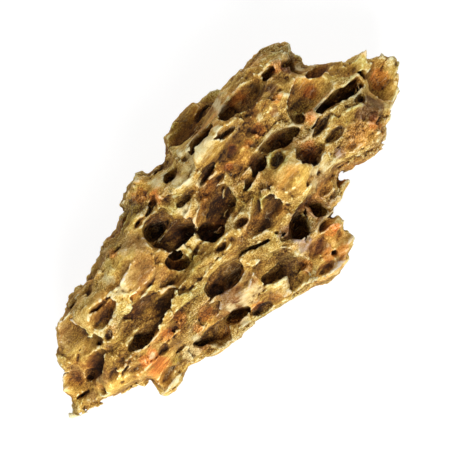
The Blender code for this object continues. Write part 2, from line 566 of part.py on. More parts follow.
def stone_material():
    material = bpy.data.materials.new("weathered_clay")
    material.use_nodes = True
    shader = material.node_tree.nodes["Principled BSDF"]
    shader.inputs["Base Color"].default_value = STONE_COLOUR
    shader.inputs["Roughness"].default_value = 0.85
    shader.inputs["Metallic"].default_value = 0.0
    return material


def make_stone():
    stone = bpy.data.objects.new("stone", rough_mesh())
    bpy.context.scene.collection.objects.link(stone)
    thin = stone.modifiers.new("fewer_faces", "DECIMATE")
    thin.ratio = TRIANGLES / len(stone.data.polygons)
    cut = stone.modifiers.new("flat_feet", "BOOLEAN")
    cut.operation = "DIFFERENCE"
    cut.solver = "EXACT"
    cut.object = floor_cutter()
    graph = bpy.context.evaluated_depsgraph_get()
    mesh = bpy.data.meshes.new_from_object(stone.evaluated_get(graph))
    stone.modifiers.clear()
    stone.data = mesh
    centre_and_size(mesh)
    mesh.shade_smooth()
    mesh.set_sharp_from_angle(angle=math.radians(40))
    mesh.materials.clear()
    mesh.materials.append(stone_material())


def centre_and_size(mesh):
    """Moves the middle of the box over the origin, and makes the stone its full length."""
    points = np.empty(3 * len(mesh.vertices))
    mesh.vertices.foreach_get("co", points)
    points = points.reshape(-1, 3)
    low, high = points.min(0), points.max(0)
    points[:, :2] -= (low[:2] + high[:2]) / 2
    points *= LENGTH * MM / (high[0] - low[0])
    mesh.vertices.foreach_set("co", points.reshape(-1))
    mesh.update()


clear_scene()
make_stone()
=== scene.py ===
"""The look of an aquarium dragon stone: weathered clay rock, eaten into pits, slots and sharp crests.

Lengths are in millimetres until the mesh is made. X runs along the stone, Y across it and Z up from the
surface that it lies on. Its shape is worked out as a field, below zero inside the stone, on a grid of
points, and the field's zero surface is the mesh.
"""

import json
import math

import bpy
import numpy as np
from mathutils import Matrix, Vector

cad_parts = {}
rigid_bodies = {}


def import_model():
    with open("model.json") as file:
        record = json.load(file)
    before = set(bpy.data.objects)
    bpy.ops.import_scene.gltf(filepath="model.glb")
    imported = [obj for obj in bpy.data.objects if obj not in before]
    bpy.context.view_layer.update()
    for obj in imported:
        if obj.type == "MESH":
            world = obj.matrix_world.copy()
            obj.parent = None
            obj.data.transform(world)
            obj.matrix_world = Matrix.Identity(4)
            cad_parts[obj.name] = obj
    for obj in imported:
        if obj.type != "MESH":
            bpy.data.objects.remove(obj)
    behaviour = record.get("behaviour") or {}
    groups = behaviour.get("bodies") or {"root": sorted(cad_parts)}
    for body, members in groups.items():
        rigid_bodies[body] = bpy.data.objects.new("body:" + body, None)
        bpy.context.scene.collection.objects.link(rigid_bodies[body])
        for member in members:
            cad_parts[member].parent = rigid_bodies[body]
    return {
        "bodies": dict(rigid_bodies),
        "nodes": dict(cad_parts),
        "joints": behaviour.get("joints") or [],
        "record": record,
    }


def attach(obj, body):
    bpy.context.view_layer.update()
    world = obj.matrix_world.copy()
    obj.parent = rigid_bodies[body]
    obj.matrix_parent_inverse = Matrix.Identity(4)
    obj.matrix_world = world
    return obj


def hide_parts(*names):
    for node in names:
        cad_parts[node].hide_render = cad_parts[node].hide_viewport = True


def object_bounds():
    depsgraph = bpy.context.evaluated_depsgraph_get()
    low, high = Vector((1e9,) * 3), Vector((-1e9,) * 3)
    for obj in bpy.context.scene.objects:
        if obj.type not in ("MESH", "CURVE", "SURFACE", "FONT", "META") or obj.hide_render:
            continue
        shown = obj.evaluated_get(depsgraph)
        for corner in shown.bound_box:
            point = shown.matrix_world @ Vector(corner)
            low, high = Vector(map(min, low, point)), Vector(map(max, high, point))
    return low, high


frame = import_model()
CAD_LOW, CAD_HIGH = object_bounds()

MM = 0.001

# Sizes of the whole stone
WIDEST_AT = 27  # height at which the stone is as wide as its outline
OUTLINE_SPARE = 0.8  # how much wider the body is there, for what its hollows take away
TOP = 63  # height of the upper side, before its humps and hollows
SHOULDER = 16  # how far the sides draw in above the widest height
SHOULDER_RISE = 42  # the rise over which they do
BELLY, BELLY_SHARE = 21, 0.92  # how far they draw in below it, and how much of a quarter circle that is
UPPER_ROUNDING, LOWER_ROUNDING = 4, 3  # how round the edges of the upper side and the underside are
ARCH = 5  # how far the underside stands off the floor between its feet
FOOT_PRESS = 3  # how far the feet would reach below the floor
FEET = ((-72, 8, 17), (-18, -20, 17), (40, 24, 18), (68, -12, 16), (-20, 26, 13))  # x, y, radius
# How suddenly the feet, the smooth places and the patches end, as a power
FOOT_POWER, CALM_POWER, PATCH_POWER = 3, 4, 2

# The outline seen from above, anticlockwise from the left tip
OUTLINE = (
    (-125, -2.8), (-90, -17), (-88.6, -19.6), (-85.3, -19.8), (-83.6, -22), (-85, -26),
    (-87.6, -30.2), (-85.4, -32.8), (-78.2, -34.2), (-74.6, -33.4), (-66.5, -30.5), (-57, -34.8),
    (-52.5, -38.3), (-38, -42.5), (-34.5, -41.8), (-30, -42.2), (-14.5, -47.2), (8, -54.7),
    (14, -58.2), (19.5, -59.3), (29, -57.7), (39.3, -52.4), (39.5, -46.2), (42.6, -42.2),
    (42.2, -39.4), (40.2, -37.4), (44.4, -36.2), (50, -36.3), (59.4, -31.2), (56.2, -28),
    (56.8, -26.4), (60.2, -25.9), (70, -30.9), (84, -33.6), (91, -31.6), (92.4, -28.6),
    (111.6, -20.8), (123.5, -9.7), (124.8, -7.2), (123.4, -5), (120, -2.8), (120.2, -1.4),
    (115.6, 2.7), (117.2, 6), (103.6, 11.2), (94.5, 21.9), (91.6, 23.8), (92.9, 28.4),
    (92.2, 33.6), (93.7, 37.2), (92.2, 39.8), (80.6, 47), (78, 48.4), (65, 48),
    (56, 49.2), (51, 52.4), (42, 53.6), (33, 55.9), (24, 57), (16, 55.3),
    (11.4, 51.9), (5.4, 46.4), (-1, 48.2), (-5.3, 48.3), (-5.8, 53), (-9.4, 56),
    (-26.7, 50.2), (-28.5, 46.6), (-35, 45.8), (-37.7, 44.3), (-46.5, 44.2), (-51.5, 41),
    (-65, 39.4), (-70.5, 38.2), (-80.2, 38.7), (-95.2, 34.8), (-108.9, 21.9), (-111.3, 15.3),
    (-118.5, 9.4), (-118.4, 4), (-123.2, -0.4),
)

# Humps of the upper side, and with a negative rise its lower parts: x, y, half length, half width,
# heading in degrees, rise
HUMPS = (
    (-58, 21, 30, 15, 0, 9), (-100, 20, 17, 17, 0, -9), (-60, 44, 38, 7.5, 6, -17),
    (-14, 46, 15, 9, 8, -5), (19, 35.5, 29, 7.5, -1, 10), (33, 53, 27, 11, -3, -27),
    (62, 46, 27, 5, 0, 7), (84, 40, 10, 9, 0, 8), (42, -7, 15, 13, 0, 9),
    (-30, -5, 48, 6, 0, 6), (-40, -35, 48, 11, -12, -12), (28, -47, 19, 13, 0, -14),
    (48, -28, 13, 8, 10, -10), (112, -12, 14, 14, 0, -16), (90, 27, 7, 7, 0, -22),
    (-116, 2, 15, 13, 0, -16), (66, 25, 15, 8, 0, 6), (100, 12, 12, 8, -25, -8),
    (-126, 0, 30, 70, 0, -9), (126, 0, 30, 70, 0, -9), (-66, -30, 34, 16, 0, -8),
    (30, 10, 45, 40, 0, 5),
)
# Places where the underside rises from the floor, in the same terms
HOLLOWS_BENEATH = (
    (-128, 0, 32, 70, 0, 13), (128, 0, 34, 70, 0, 11), (20, -60, 40, 17, 0, 10), (-60, 50, 60, 17, 0, 12),
    (60, 52, 40, 16, 0, 13), (-80, -38, 24, 12, 0, 7),
)

# Pits seen from above: x, y, half length, half width, heading in degrees, depth. Holes are undercut.
HOLES = (
    (-84, 14.2, 3.6, 1.6, 82, 13), (-59, -0.8, 17.4, 5.6, 3, 9), (-54.4, 11.9, 4, 1.5, -8, 7),
    (-21.8, 28.8, 7, 4.2, -5, 22), (-19, 16.6, 9.8, 4.8, 6, 24), (-15.2, 30.6, 1.6, 1.2, 0, 7),
    (-29.2, 9.4, 5.6, 4.4, -15, 12), (-6, 6.5, 6, 7.2, 20, 24), (14.8, 27.2, 6.2, 1.6, 4, 9),
    (36.5, 32.4, 8, 1.6, -18, 9), (45.5, 38, 6, 4.6, 10, 18), (72.4, 36, 4.4, 2.8, 20, 11),
    (51.5, 9.6, 10.5, 3.6, -17, 24), (36, 10.4, 5.6, 3.6, 22, 14), (26.5, 7.2, 4.6, 2, 12, 9),
    (84, 2.4, 9, 2.6, -10, 26), (95.5, -1.4, 8.4, 3.2, -10, 22), (105.8, -1.1, 3.9, 2.3, -50, 10),
    (55.4, -7.4, 6, 5.4, -20, 15), (94, -10, 2.8, 1.7, 8, 7), (27.4, -26.2, 9.2, 4.6, 38, 30),
    (38, -29, 5, 4.4, 70, 20), (4.4, -35.2, 12, 4.4, -21, 20), (-26.5, -14.6, 4.8, 4.4, -8, 13),
    (-18.6, -21.6, 5.4, 1.5, -4, 12), (-30.6, -32.6, 8.2, 2.6, -14, 17), (-18.8, -40.6, 5.4, 2.8, -26, 10),
    (-52, -29.8, 4.4, 2.2, -32, 10), (16.8, -51.6, 6.4, 2, -4, 9), (26.6, -49.6, 1.4, 1.2, 0, 6),
    (27, 40.4, 8.2, 3, 2, 20), (43.5, 48.6, 11.5, 2.6, 7, 18), (-62, 38, 4.6, 2.4, 0, 14),
    (74.6, -28.4, 2.8, 1.3, -5, 7), (83, 31.6, 4.6, 2.4, -10, 12), (-102, 4.4, 4.4, 3, 0, 9),
    (-62, -22, 2.8, 1.1, -4, 5), (-57, -13.2, 4.4, 0.9, -3, 4), (-113.4, -0.6, 3.2, 0.9, -14, 3),
    (87.6, 37.8, 1.7, 0.8, 0, 4), (34, -36.6, 4.8, 1.5, -4, 9), (-71, 33.4, 3.2, 1.4, 30, 7),
    (3, 38.4, 4.8, 2.5, 4, 13), (-72, 22.6, 6.4, 1.4, -12, 8), (28.6, -2.8, 1.4, 0.9, 0, 3),
    (43, -16.2, 2.2, 1, 20, 3), (39, -10.8, 1, 0.8, 0, 3), (77, 26.2, 1.8, 1.4, 42, 5),
    (-69.5, -2.4, 7.4, 4.4, 4, 18),
)
BOWLS = (
    (-96.6, 5.2, 8.6, 5.2, 2, 9), (-73.5, 18.6, 9.8, 5.4, -2, 9), (-79, 10.8, 5.4, 1.6, 12, 6),
    (-63, 4.2, 17, 5.8, 5, 7), (-21, 21.8, 11.2, 8.6, -40, 18), (-23.4, 4.2, 9.6, 1.5, 3, 4),
    (3, 10.2, 15.6, 7.8, 10, 13), (13.2, 8.2, 3.8, 3, 20, 12), (10, 21, 10.6, 4.2, -2, 8),
    (-3.3, 27.4, 6.2, 2.3, -8, 6), (-9, 32.6, 4.4, 2.2, 4, 5), (31, 22.8, 4.6, 3.6, -36, 3),
    (56, 37.6, 14, 6.6, -4, 11), (57, 34.4, 8, 3, -8, 10),
    (91.8, 18.2, 9.2, 4.4, -14, 12), (80, 13.2, 16, 7.6, -7, 9), (66.8, 10.6, 3.8, 4.8, -30, 12),
    (90, 1, 14.5, 2.8, -11, 11), (70.5, -0.9, 8.8, 2.6, 5, 8),
    (57.5, -6.4, 10, 6, -10, 10), (71, -10.2, 7, 2.7, -6, 5), (33, -28, 12.4, 8, 6, 12),
    (3, -31.4, 11.8, 7.4, -16, 10), (3.2, -44.4, 6.8, 4.8, 0, 14), (-19.6, -16, 12.2, 6.2, -6, 10),
    (-42, -21.6, 12.4, 3.8, -3, 7), (-66.6, -16.6, 3.8, 3, -30, 5), (-45, -32.4, 8, 5.6, -20, 11),
    (18.6, -9.4, 13.5, 4.8, 14, 6), (8, -3, 5.2, 3.2, -12, 7), (19, -3.4, 9, 2, 25, 7),
    (-8.6, -4.2, 6.4, 1.7, -24, 7), (43, 4.4, 6, 3.4, 12, 7), (-84.6, -5, 7.2, 2.4, 38, 3),
    (-88, -8.8, 7, 1.1, 5, 4), (-82.6, -12.4, 6, 2, -14, 4), (-94.6, -10.8, 3.6, 0.8, 8, 2),
    (-17, 36.9, 7.2, 1.4, 18, 6), (-27, 35.2, 4.6, 1.6, -6, 6), (-47, 35.8, 5.4, 1.4, -16, 4),
    (-44, 40.4, 5.4, 1.7, -20, 6), (-1, 46.4, 5, 1.5, -8, 6), (68, -26.8, 6, 1.4, 4, 5),
    (-82, 35.4, 6.4, 1.5, 2, 6), (-2, -5.4, 3.2, 2.6, -30, 6), (14, 39.6, 5, 1.4, -8, 4),
    (84, 27.6, 6.4, 3.4, 10, 9), (-38.5, 42.8, 13.5, 4.2, -7, 6),
)
# Broad shallow facets, in the same terms
SCOOPS = (
    (-96, 22, 15, 11, 0, 3), (-97, -6.2, 6, 2.2, 0, 1.5), (-106, -5.6, 8, 2.4, -20, 1.5),
    (-120, -1.8, 5, 1.7, -4, 1.4), (-58, 28, 13, 5, 3, 1.6), (-42, 21, 10, 9, 0, 1.6),
    (-12, -30, 6, 1.8, 6, 1.4), (-38.2, -2.8, 4.2, 2.2, 20, 2.2), (-44, -12.6, 9, 3, -4, 1.8),
    (45, 22.5, 4.4, 2.6, 0, 2), (73.5, -21.8, 4.4, 1.9, -6, 2), (108, -12.6, 13.5, 6.4, 38, 2.8),
    (35, -46.6, 4.6, 3.4, 30, 2.6), (23, -42, 6, 3.5, 20, 2.6), (-53.8, -35.2, 4.6, 2.4, -26, 2.2),
    (-87.3, -18.2, 2.4, 2, 0, 1), (-77, -27.5, 8, 3, 2, 2.2), (51, -25, 9, 2.6, 2, 2),
    (50, -30.6, 6, 2, 4, 1.6), (24, 49, 13, 6, 4, 3.4), (72, 44, 5, 3.4, 0, 2.2),
    (-52, -18, 12, 2.4, -2, 1.8), (105, 5.8, 4.2, 3.8, 0, 2), (84, -26, 5.2, 2.8, 0, 2),
    (-20, -25.4, 11, 2.6, 1, 1.6), (-76, 31.2, 5.4, 2.2, 10, 1.4), (93, -16, 6.4, 3.4, 4, 1.6),
    (60, -16.6, 8, 2, 0, 1.4),
)
# How deep the middle of each kind of pit lies, as a share of the pit's depth
HOLE_SINK, BOWL_SINK, SCOOP_SINK = 0.25, 0, -1

# How far a hole or bowl leans towards -X and -Y for each unit of its depth
LEAN_X, LEAN_Y = -0.22, -0.42
LEAN_FROM, LEAN_FULL = 10, 25  # distances in from the outline over which its lean towards -Y sets in
LEAN_BELOW = 3.5  # its wall is straight down to this depth

# The power of a pit's shape, where 1 is a diamond and 2 an ellipse: for a pit of no width, what each
# millimetre of its half width adds, and the most that it is
SLOT_POWER, POWER_GAIN, MOST_POWER = 1.3, 0.14, 2.1

# How high the ground swells up to a pit: at least, for each unit of its half width, and how far out
SWELL_LEAST, SWELL_SHARE, SWELL_REACH = 0.3, 0.08, 2

# Pits of the sides and the underside, placed at random
SIDE_PITS, SIDE_PIT_SEED = 120, 5
SIDE_PIT_HALF_WIDTHS = (2.8, 7.5)
SIDE_PIT_STRETCH = (1.3, 2.6)  # their half length for each unit of half width
SIDE_PIT_DEPTHS = (0.8, 2.2)  # their depth, in the same way
SIDE_PIT_TURN = math.radians(14)  # how much their headings vary
BOWL_ODDS = 0.6  # the share of them that isn't undercut
SIDE_PIT_REACH = 100  # how far along the stone they go, either way
AXIS_Y, AXIS_SLOPE, AXIS_HEIGHT = 6, -0.04, 31  # the line in the stone that they face away from
OUTLINE_REACH = 80  # further than the surface is from that line
STEEPEST_UP = 0.05  # how far up they may face, as the upper side has only the pits listed above
RAY_SLANT = 0.25  # how far their places are looked for along X, for each unit of distance
RAY_STEP, HEIGHT_STEP = 0.5, 0.25  # the steps in which the surface is looked for, sideways and upwards
LEAST_SHARE, TINY = 1e-3, 1e-6  # least values that keep a power and a division in bounds

# Noise that makes the ground uneven, and that bends the pits and the scales: size, height and seed
UNEVEN = ((22, 11, 11), 1, 1)
SWAYS = (((12, 8, 8), 1.7, 10), ((4.5, 3, 3), 0.9, 20), ((2.4, 1.6, 1.6), 0.45, 25))

# Scale-like hollows of two sizes: size, depth at the sides and on the upper side, tilt and seed
SCALES = (
    ((23, 12.5, 11.5), 7, 6, (-0.55, -0.45, 0), 31),
    ((12.5, 6.2, 6), 4.2, 3.8, (-0.6, -0.5, 0), 33),
)
UPPER_FROM, UPPER_FULL = 28, 42  # heights at which the upper side starts, and is all there is
SCALE_DEPTH, BOWL = 0.19, 0.3  # how deep their middles are, and how bowl-like: with 0 they would be flat
SCATTER = (0.1, 0.9)  # where the middle of each may be in its cell
CREST = 0.9  # how far their crests stand out
PATCHY = ((26, 18, 18), 0.6, 40)  # noise that varies their depth from place to place
MEAN_STRENGTH, LEAST_STRENGTH, MOST_STRENGTH = 0.9, 0.25, 1.5
FADE_HEIGHT = 9  # they fade below this height, so that the feet stay whole
# Smooth places: x, y, radius
CALM_PLACES = (
    (-45, 22, 17), (-97, 22, 17), (-74, 26, 9), (109, -12, 13), (30, 52, 20), (-76, -20, 10), (-20, -26, 9),
    (6, 35, 7), (17, 36, 7), (30, 36, 7), (40, -8, 11), (28, -48, 10), (-98, -10, 9), (84, 14, 9),
    (-8, 42, 6), (33, 22, 9), (22, 30, 6), (-113, 7, 9), (-88, -15, 7), (18, -9, 8), (104, -17, 8),
    (93, 14, 8),
)
CALMEST = 0.2  # how deep they are there, as a share of their depth elsewhere
# How much shallower they are along the outline, and how far from it that is so, inwards and upwards
EDGE_CALM, EDGE_WIDTH, EDGE_HEIGHT = 0.7, 6, 8

# The grid, the box of the scales' random cells, and the number of triangles of the finished mesh
GRID_STEP = 0.8
GRID_LOW = (-132, -66, -8)
GRID_HIGH = (130, 64, 88)
CELLS_LOW = (-134, -68, -10)
CELLS_HIGH = (131, 65, 89)
TRIANGLES = 190_000

# Finer hollows and flat plates: depth, size, seed, tilt and how bowl-like they are
FINE_SCALES = (1, (7.4, 3.4, 3.2), 35, (-0.65, -0.5, 0), 0.1)
PLATES = (1.5, (15, 8, 8), 36, (-0.7, -0.6, 0), 0)
# Grooves, a ragged grain and ridges, as noise: size, height and seed
GROOVES = ((12, 1.8, 1.8), 0.45, 41)
RAGGED = ((3.6, 2.2, 2.2), 0.25, 42)
RIDGES = (((12, 5, 5), 0.5, 51), ((6, 2.6, 2.6), 0.22, 52), ((3.2, 1.5, 1.5), 0.15, 53))
# Thin walls left standing inside pits: x, y, half length, half thickness, heading, how far their middle is
# below the surface, half height
WALLS = (
    (-21.5, 22.6, 12.5, 1.1, 4, 13, 9.5), (-11.5, 27, 1.2, 5, 20, 10, 7), (33.2, -27, 1, 8, -12, 9, 8),
    (-3, 2.2, 6, 0.8, -28, 14, 8), (98, -3.2, 7, 0.8, 28, 12, 8), (41, 11, 0.9, 3.6, 10, 8, 7),
    (70.2, 9, 0.9, 4.4, -38, 8, 6), (27.5, -33.4, 4.4, 0.9, 4, 8, 6), (-34, -33.5, 5, 0.8, -26, 9, 6),
    (14, 12, 4.5, 0.9, 32, 8, 6), (8, 4.8, 6, 0.8, 14, 12, 8),
)
# Thin cracks, in the terms of the pits
CRACKS = (
    (4, -17.8, 11, 0.5, -21, 5), (-38, -17.4, 9, 0.5, -3, 4), (60, 31.6, 8, 0.5, -8, 4),
    (112, -8, 7, 0.4, 14, 2.5), (108, -14, 6, 0.4, 10, 2.5), (-100, 14, 6, 0.4, 24, 2),
    (32, 44, 9, 0.5, 4, 4), (-46, 12, 6, 0.5, 4, 2.5),
)
PIT_TABLES = ((HOLES, HOLE_SINK), (BOWLS, BOWL_SINK), (SCOOPS, SCOOP_SINK), (CRACKS, HOLE_SINK))
PIT_SHARE = 0.4  # how deep the hollows are on a pit's wall, as a share of their depth elsewhere
PIT_GROOVES = 0.4  # how much deeper the grooves are in the pits
PIT_CREST = 1.5  # how far crests stand out there, before that share is taken
FINE_CALM, RIDGE_CALM = 0.25, 0.15  # what is left of the fine scales and the ridges in the smooth places
DENT_REACH = 5  # how far from the surface the hollows are worked out
FAR = 60.0  # further than any place is from a pit
JUST_INSIDE = -1e-3  # the field where a gap is filled
PIT_MARGIN = 3  # how far round a pit its own field is worked out

# How much of the space round a point is solid, as a mean of means over boxes of these half widths
SOLID_SHARES = (("crease", (1.2, 1)), ("rim", (0.8, 0.8)), ("hollow", (4, 4)))

# Colours of the stone, as linear red, green and blue, from the bottoms of the pits to the crests; the dark
# end is partly painted shade in the pits and the pale end partly painted highlight on the crests
TONES = (
    (0.02, (0.026, 0.009, 0.002)), (0.2, (0.092, 0.036, 0.006)), (0.38, (0.23, 0.104, 0.016)),
    (0.54, (0.43, 0.22, 0.034)), (0.7, (0.66, 0.405, 0.08)), (0.86, (0.89, 0.68, 0.23)),
    (1, (0.95, 0.85, 0.5)),
)

# Patches on the upper side, of other colours of the stone and, where marked below, of painted light and
# shade: a colour that multiplies the stone's own, how much it does, and the places as x, y and radius
PATCHES = (
    ("red", (1.38, 0.8, 0.68), 0.85, (
        (-77, -13, 4), (-74, -19, 5), (-80, -20, 4), (-86, -25, 4), (37, -41, 3), (-72, -12, 3),
    )),
    ("rust", (1.04, 0.64, 0.45), 0.8, (
        (-47, 36, 3), (88, 42, 4), (34, -41, 4), (30, -54, 5), (12, -43, 4), (24, -48, 4), (57, -5, 5),
        (55, 40, 6), (24, 20, 3), (48, 20, 4), (39, 20, 3), (93, 18, 5), (-60, -12, 4), (-50, -12, 4),
        (-40, -20, 5), (-20, -38, 4), (70, 5, 4), (110, -9, 6), (90, -22, 5), (-12, 38, 4), (-16, 44, 5),
        (78, 34, 4), (66, 24, 3), (32, 25, 3), (-48, -22, 3), (80, 13, 4),
    )),
    # Partly the stone's own red-brown and partly painted shade, darkening the pits
    ("umber_and_pit_shade", (0.6, 0.44, 0.36), 0.85, (
        (-97, 5, 7), (-73, 20, 7), (3, 38, 4), (84, 29, 7), (2, -45, 5), (-19, -41, 5), (55, -8, 6),
        (46, 38, 6), (-30, -33, 6), (-52, -30, 4), (16, -52, 5), (27, 41, 6), (44, 49, 7),
        (-62, 38, 4), (-82, 36, 5), (-71, 33, 3), (-30, 9, 5), (94, -10, 2), (37, -28, 7), (25, -26, 7),
        (-26, -15, 5), (-22, 28, 6), (-18, 17, 7), (-5, 6, 7), (50, 9, 7), (34, 10, 5), (-2, 46, 4),
    )),
    ("mauve", (0.78, 0.77, 1.12), 0.85, (
        (-24, -25, 8), (-12, -26, 5), (-34, -26, 5), (-90, 31, 7), (-104, 29, 4), (-45, 20, 10),
        (-36, 30, 7), (50, -19, 4), (-40, 10, 5), (22, -56, 5), (-97, 25, 6), (-107, 10, 5), (-98, -2, 4),
        (-112, -4, 4), (-40, 32, 6),
    )),
    ("plum", (0.52, 0.42, 0.62), 0.85, (
        (93, -16, 5), (88, -13, 4), (98, -17, 4), (66, -18, 4), (20, -30, 4), (20, -36, 6), (25, -42, 5),
        (60, 20, 3), (68, 29, 3), (18, -23, 4), (97, -12, 3), (80, 30, 3), (85, 42, 3),
    )),
    ("olive", (0.8, 0.86, 0.62), 0.8, (
        (-67, -25, 3), (-44, 41, 6), (-30, 42, 8), (-80, 37, 5), (-14, 47, 4), (70, 12, 5), (43, 4, 5),
        (109, 5, 5), (20, 7, 4), (13, 5, 5), (-24, 4, 6), (22, -2, 4), (10, 52, 8), (24, 54, 9),
    )),
    # Partly the stone's own paler tone and partly painted light on facets and pit floors that face the
    # light
    ("pale", (1.28, 1.28, 1.22), 0.8, (
        (75, 44, 8), (68, 46, 6), (-45, 28, 10), (-60, 33, 8), (-8, 42, 6), (-40, 12, 8), (-60, 12, 7),
        (60, 20, 7), (-118, 4, 6), (-58, 28, 7), (100, 8, 8), (44, -13, 8), (-96, -9, 8), (-110, 5, 6),
        (30, 20, 8), (80, -28, 8), (80, 13, 8), (-56, 1, 7), (109, -12, 7), (28, 50, 8), (72, 44, 7),
        (-60, -26, 5), (-44, -22, 6),
    )),
    # Painted shade on pits and on facets that face away from the light
    ("dark", (0.52, 0.48, 0.42), 0.85, (
        (10, 52, 8), (52, 51, 6), (-18, -47, 6), (8, -33, 6), (88, 34, 4), (34, -36, 4), (-50, 42, 4),
        (-45, 43, 5), (-36, 44, 5), (-24, 26, 6), (-17, 19, 6), (-25, -23, 6), (-16, -24, 5), (-21, -24, 6),
        (-29, -23, 5),
    )),
    # Partly the stone's own weathered tone and partly painted shade on flanks and facets that face away
    # from the light
    ("dull_and_shaded", (0.76, 0.72, 0.72), 0.9, (
        (-30, -44, 6), (-20, -44, 7), (-8, -45, 7), (4, -49, 7), (14, -54, 7), (26, -54, 7), (36, -50, 5),
        (45, -34, 5), (64, -28, 5), (80, -30, 5), (-20, 34, 6), (-8, 32, 5), (-28, 20, 4), (-82, -8, 7),
        (-70, -13, 6), (4, -38, 6), (-12, -36, 5), (8, 12, 6), (-22, -25, 7), (93, -16, 7), (86, -13, 5),
    )),
)
PATCH_RAGGED, PATCH_EDGE = 1.6, (0.35, 0.65)  # how ragged they are, and the nearness over which they fade
PATCHES_FROM, PATCHES_FULL = 18, 36  # heights at which they start, and are at their full strength
FLANK_STEP = 4  # how far above and below a point its slope is measured
STEEP, LEVEL = 0.175, 0.525  # slopes at which they start, and are at their full strength; 1 is level ground

# The palest crests, partly the stone's own pale yellow and partly painted highlight: their places in the
# same way, and their tones for each paleness
CREAM_HIGHLIGHT_PLACES = (
    (-60, -28, 6), (-53, -25, 3), (-20, -31, 5), (-29, -28, 3), (-13, -31, 4), (2, 35, 4), (10, 35, 4),
    (16, 36, 6), (22, 36, 6), (28, 36, 4), (34, 36, 3), (5, 30, 3), (44, 42, 3), (50, -14, 3), (56, -16, 4),
    (46, -18, 3), (62, -21, 4), (-58, 28, 4), (-57, 20, 4), (-6, 43, 4), (-50, -36, 3), (-30, -39, 4),
    (-88, -30, 3), (-76, -33, 4), (-66, -31, 4), (55, 47, 4), (60, 46, 3), (45, 46, 3), (87, 26, 3),
    (-10, 54, 4), (-73, -13, 2), (8, 25, 3), (-7, 22, 4), (60, 18, 2), (53, 24, 2), (70, -30, 4),
    (85, -31, 4), (13, 43, 3),
)
CREAM_HIGHLIGHT_TONES = (
    (0.04, (0.09, 0.042, 0.012)), (0.26, (0.32, 0.19, 0.064)), (0.46, (0.62, 0.46, 0.19)),
    (0.64, (0.84, 0.7, 0.35)), (0.92, (0.9, 0.81, 0.49)),
)
CREAM_HIGHLIGHT_RAGGED, CREAM_HIGHLIGHT_BROKEN = 1.2, 1.6  # how much noise breaks up their edges, and their middles
CREAM_HIGHLIGHT_GAIN = (0.3, 0.8, 0, 0.2)  # how much paler they are, and below the share of their own tones
CREAM_HIGHLIGHT_SHARES = (0.35, 0.85, 0, 0.6)

# Noise that the colours are broken up with: size, detail, roughness, seed and distortion
STREAKS = ((5, 0.75, 0.75), 4, 0.7, 1, 0.35)
BROAD = ((34, 18, 18), 2, 0.5, 1.5, 0.5)
BLOTCHES = ((12, 6, 6), 4, 0.6, 2, 0.5)
MOTTLING = ((3.2, 2, 2), 3, 0.6, 2.5, 0.4)
SPECKS = ((0.85, 0.55, 0.55), 2, 0.8, 3)
GRAIN = ((30, 18, 18), 2, 0.5, 9, 0.5)
DRIFT = ((26, 13, 13), 5, 0.62, 5, 0.6)
RAGGED_EDGES = ((6, 3.5, 3.5), 4, 0.65, 8, 0.5)
VEINS = ((14, 7, 7), 4, 0.6, 11, 0.8)
VEIN_PLACES = ((18, 12, 12), 2, 0.5, 12)

# Flakes of two sizes: size, seed, how far their tones differ, and the width and tone of the lines between
FLAKES = (((9, 3.4, 3.4), 21, 0.1, 0.09, -0.16), ((3, 1.5, 1.5), 22, 0.09, 0.12, -0.1))
FLAKE_RAGGED, FLAKE_WAVES, FLAKE_DETAIL = 0.9, 0.5, 3  # the noise that makes their edges ragged

# Paleness where nothing changes it, and what each kind of noise adds
PALENESS = 0.56
SPECK_TONE, MOTTLING_TONE, STREAK_TONE, BROAD_TONE, BLOTCH_TONE = 1.9, 0.25, 0.5, 0.8, 0.65

# What each value of the mesh adds to the paleness. A range is two values, and what is made of each.
# All but the last are painted highlight on crests, rims and open ground, and painted shade in creases,
# corners, hollows and deep places.
PALENESS_STEPS = (
    ("crease", 0.4, 0.22, 0, 0.2), ("crease", 0.54, 0.66, 0, -0.12),
    ("rim", 0.42, 0.3, 0, 0.1), ("rim", 0.56, 0.66, 0, -0.08),
    ("hollow", 0.64, 0.26, -0.16, 0.16), ("depth", 12, 0, -0.08, 0.08),
    ("sharp", 0.1, 0.4, 0, 0.24), ("sharp", -0.1, -0.4, 0, -0.14),
    ("smooth", 0, 1, 0, -0.05),
)
TEXTURE_SHARES = (0, 0.8, 1, 0.45)  # how strong the fine texture is, for how smooth a place is
GRAIN_SHARES = (0.4, 0.6, 0.5, 1.3)  # how strong the specks are, for the grain's noise
ROUGHNESS = (-0.4, 0.4, 0.92, 0.72)  # the surface's roughness, for the specks
# A slow drift of hue: warmer, and greener
DRIFTS = (((1.14, 0.86, 0.72, 1), 0.5, 0.68, 0, 1), ((0.86, 0.94, 0.72, 1), 0.46, 0.34, 0, 0.7))
VEIN = (0.8, 0.62, 0.32, 1)
VEIN_WIDTHS, VEIN_SHARES = (0.012, 0.004, 0, 1), (0.46, 0.6, 0, 0.35)
SPECULAR = 0.3
COARSE_BUMP, FINE_BUMP = (0.5, 0.7), (1.2, 1)  # height in millimetres, and strength
MIX_SHARE, MIX_FIRST, MIX_SECOND, MIX_RESULT = 0, 6, 7, 2  # sockets of a node that mixes colours

# The camera looks straight down, turned so that the stone runs to the upper right
CAMERA_TURN = math.radians(-49.2)
VIEW_MIDDLE = (1.8 * MM, 3.06 * MM)
VIEW_WIDTH = 233.2 * MM  # how much the frame takes in, at the height where the stone is widest
LENS = 170
SENSOR = 36

# The floor and the light
FLOOR_SIZE, FLOOR_DROP = 6, 0.0004  # in metres; it lies this far below the stone
WHITE = (1, 1, 1, 1)
FLOOR_COLOUR = (0.18, 0.18, 0.18, 1)
FLOOR_ROUGHNESS = 0.9
FLOOR_GLOW = 0.88
SKY = 0.36
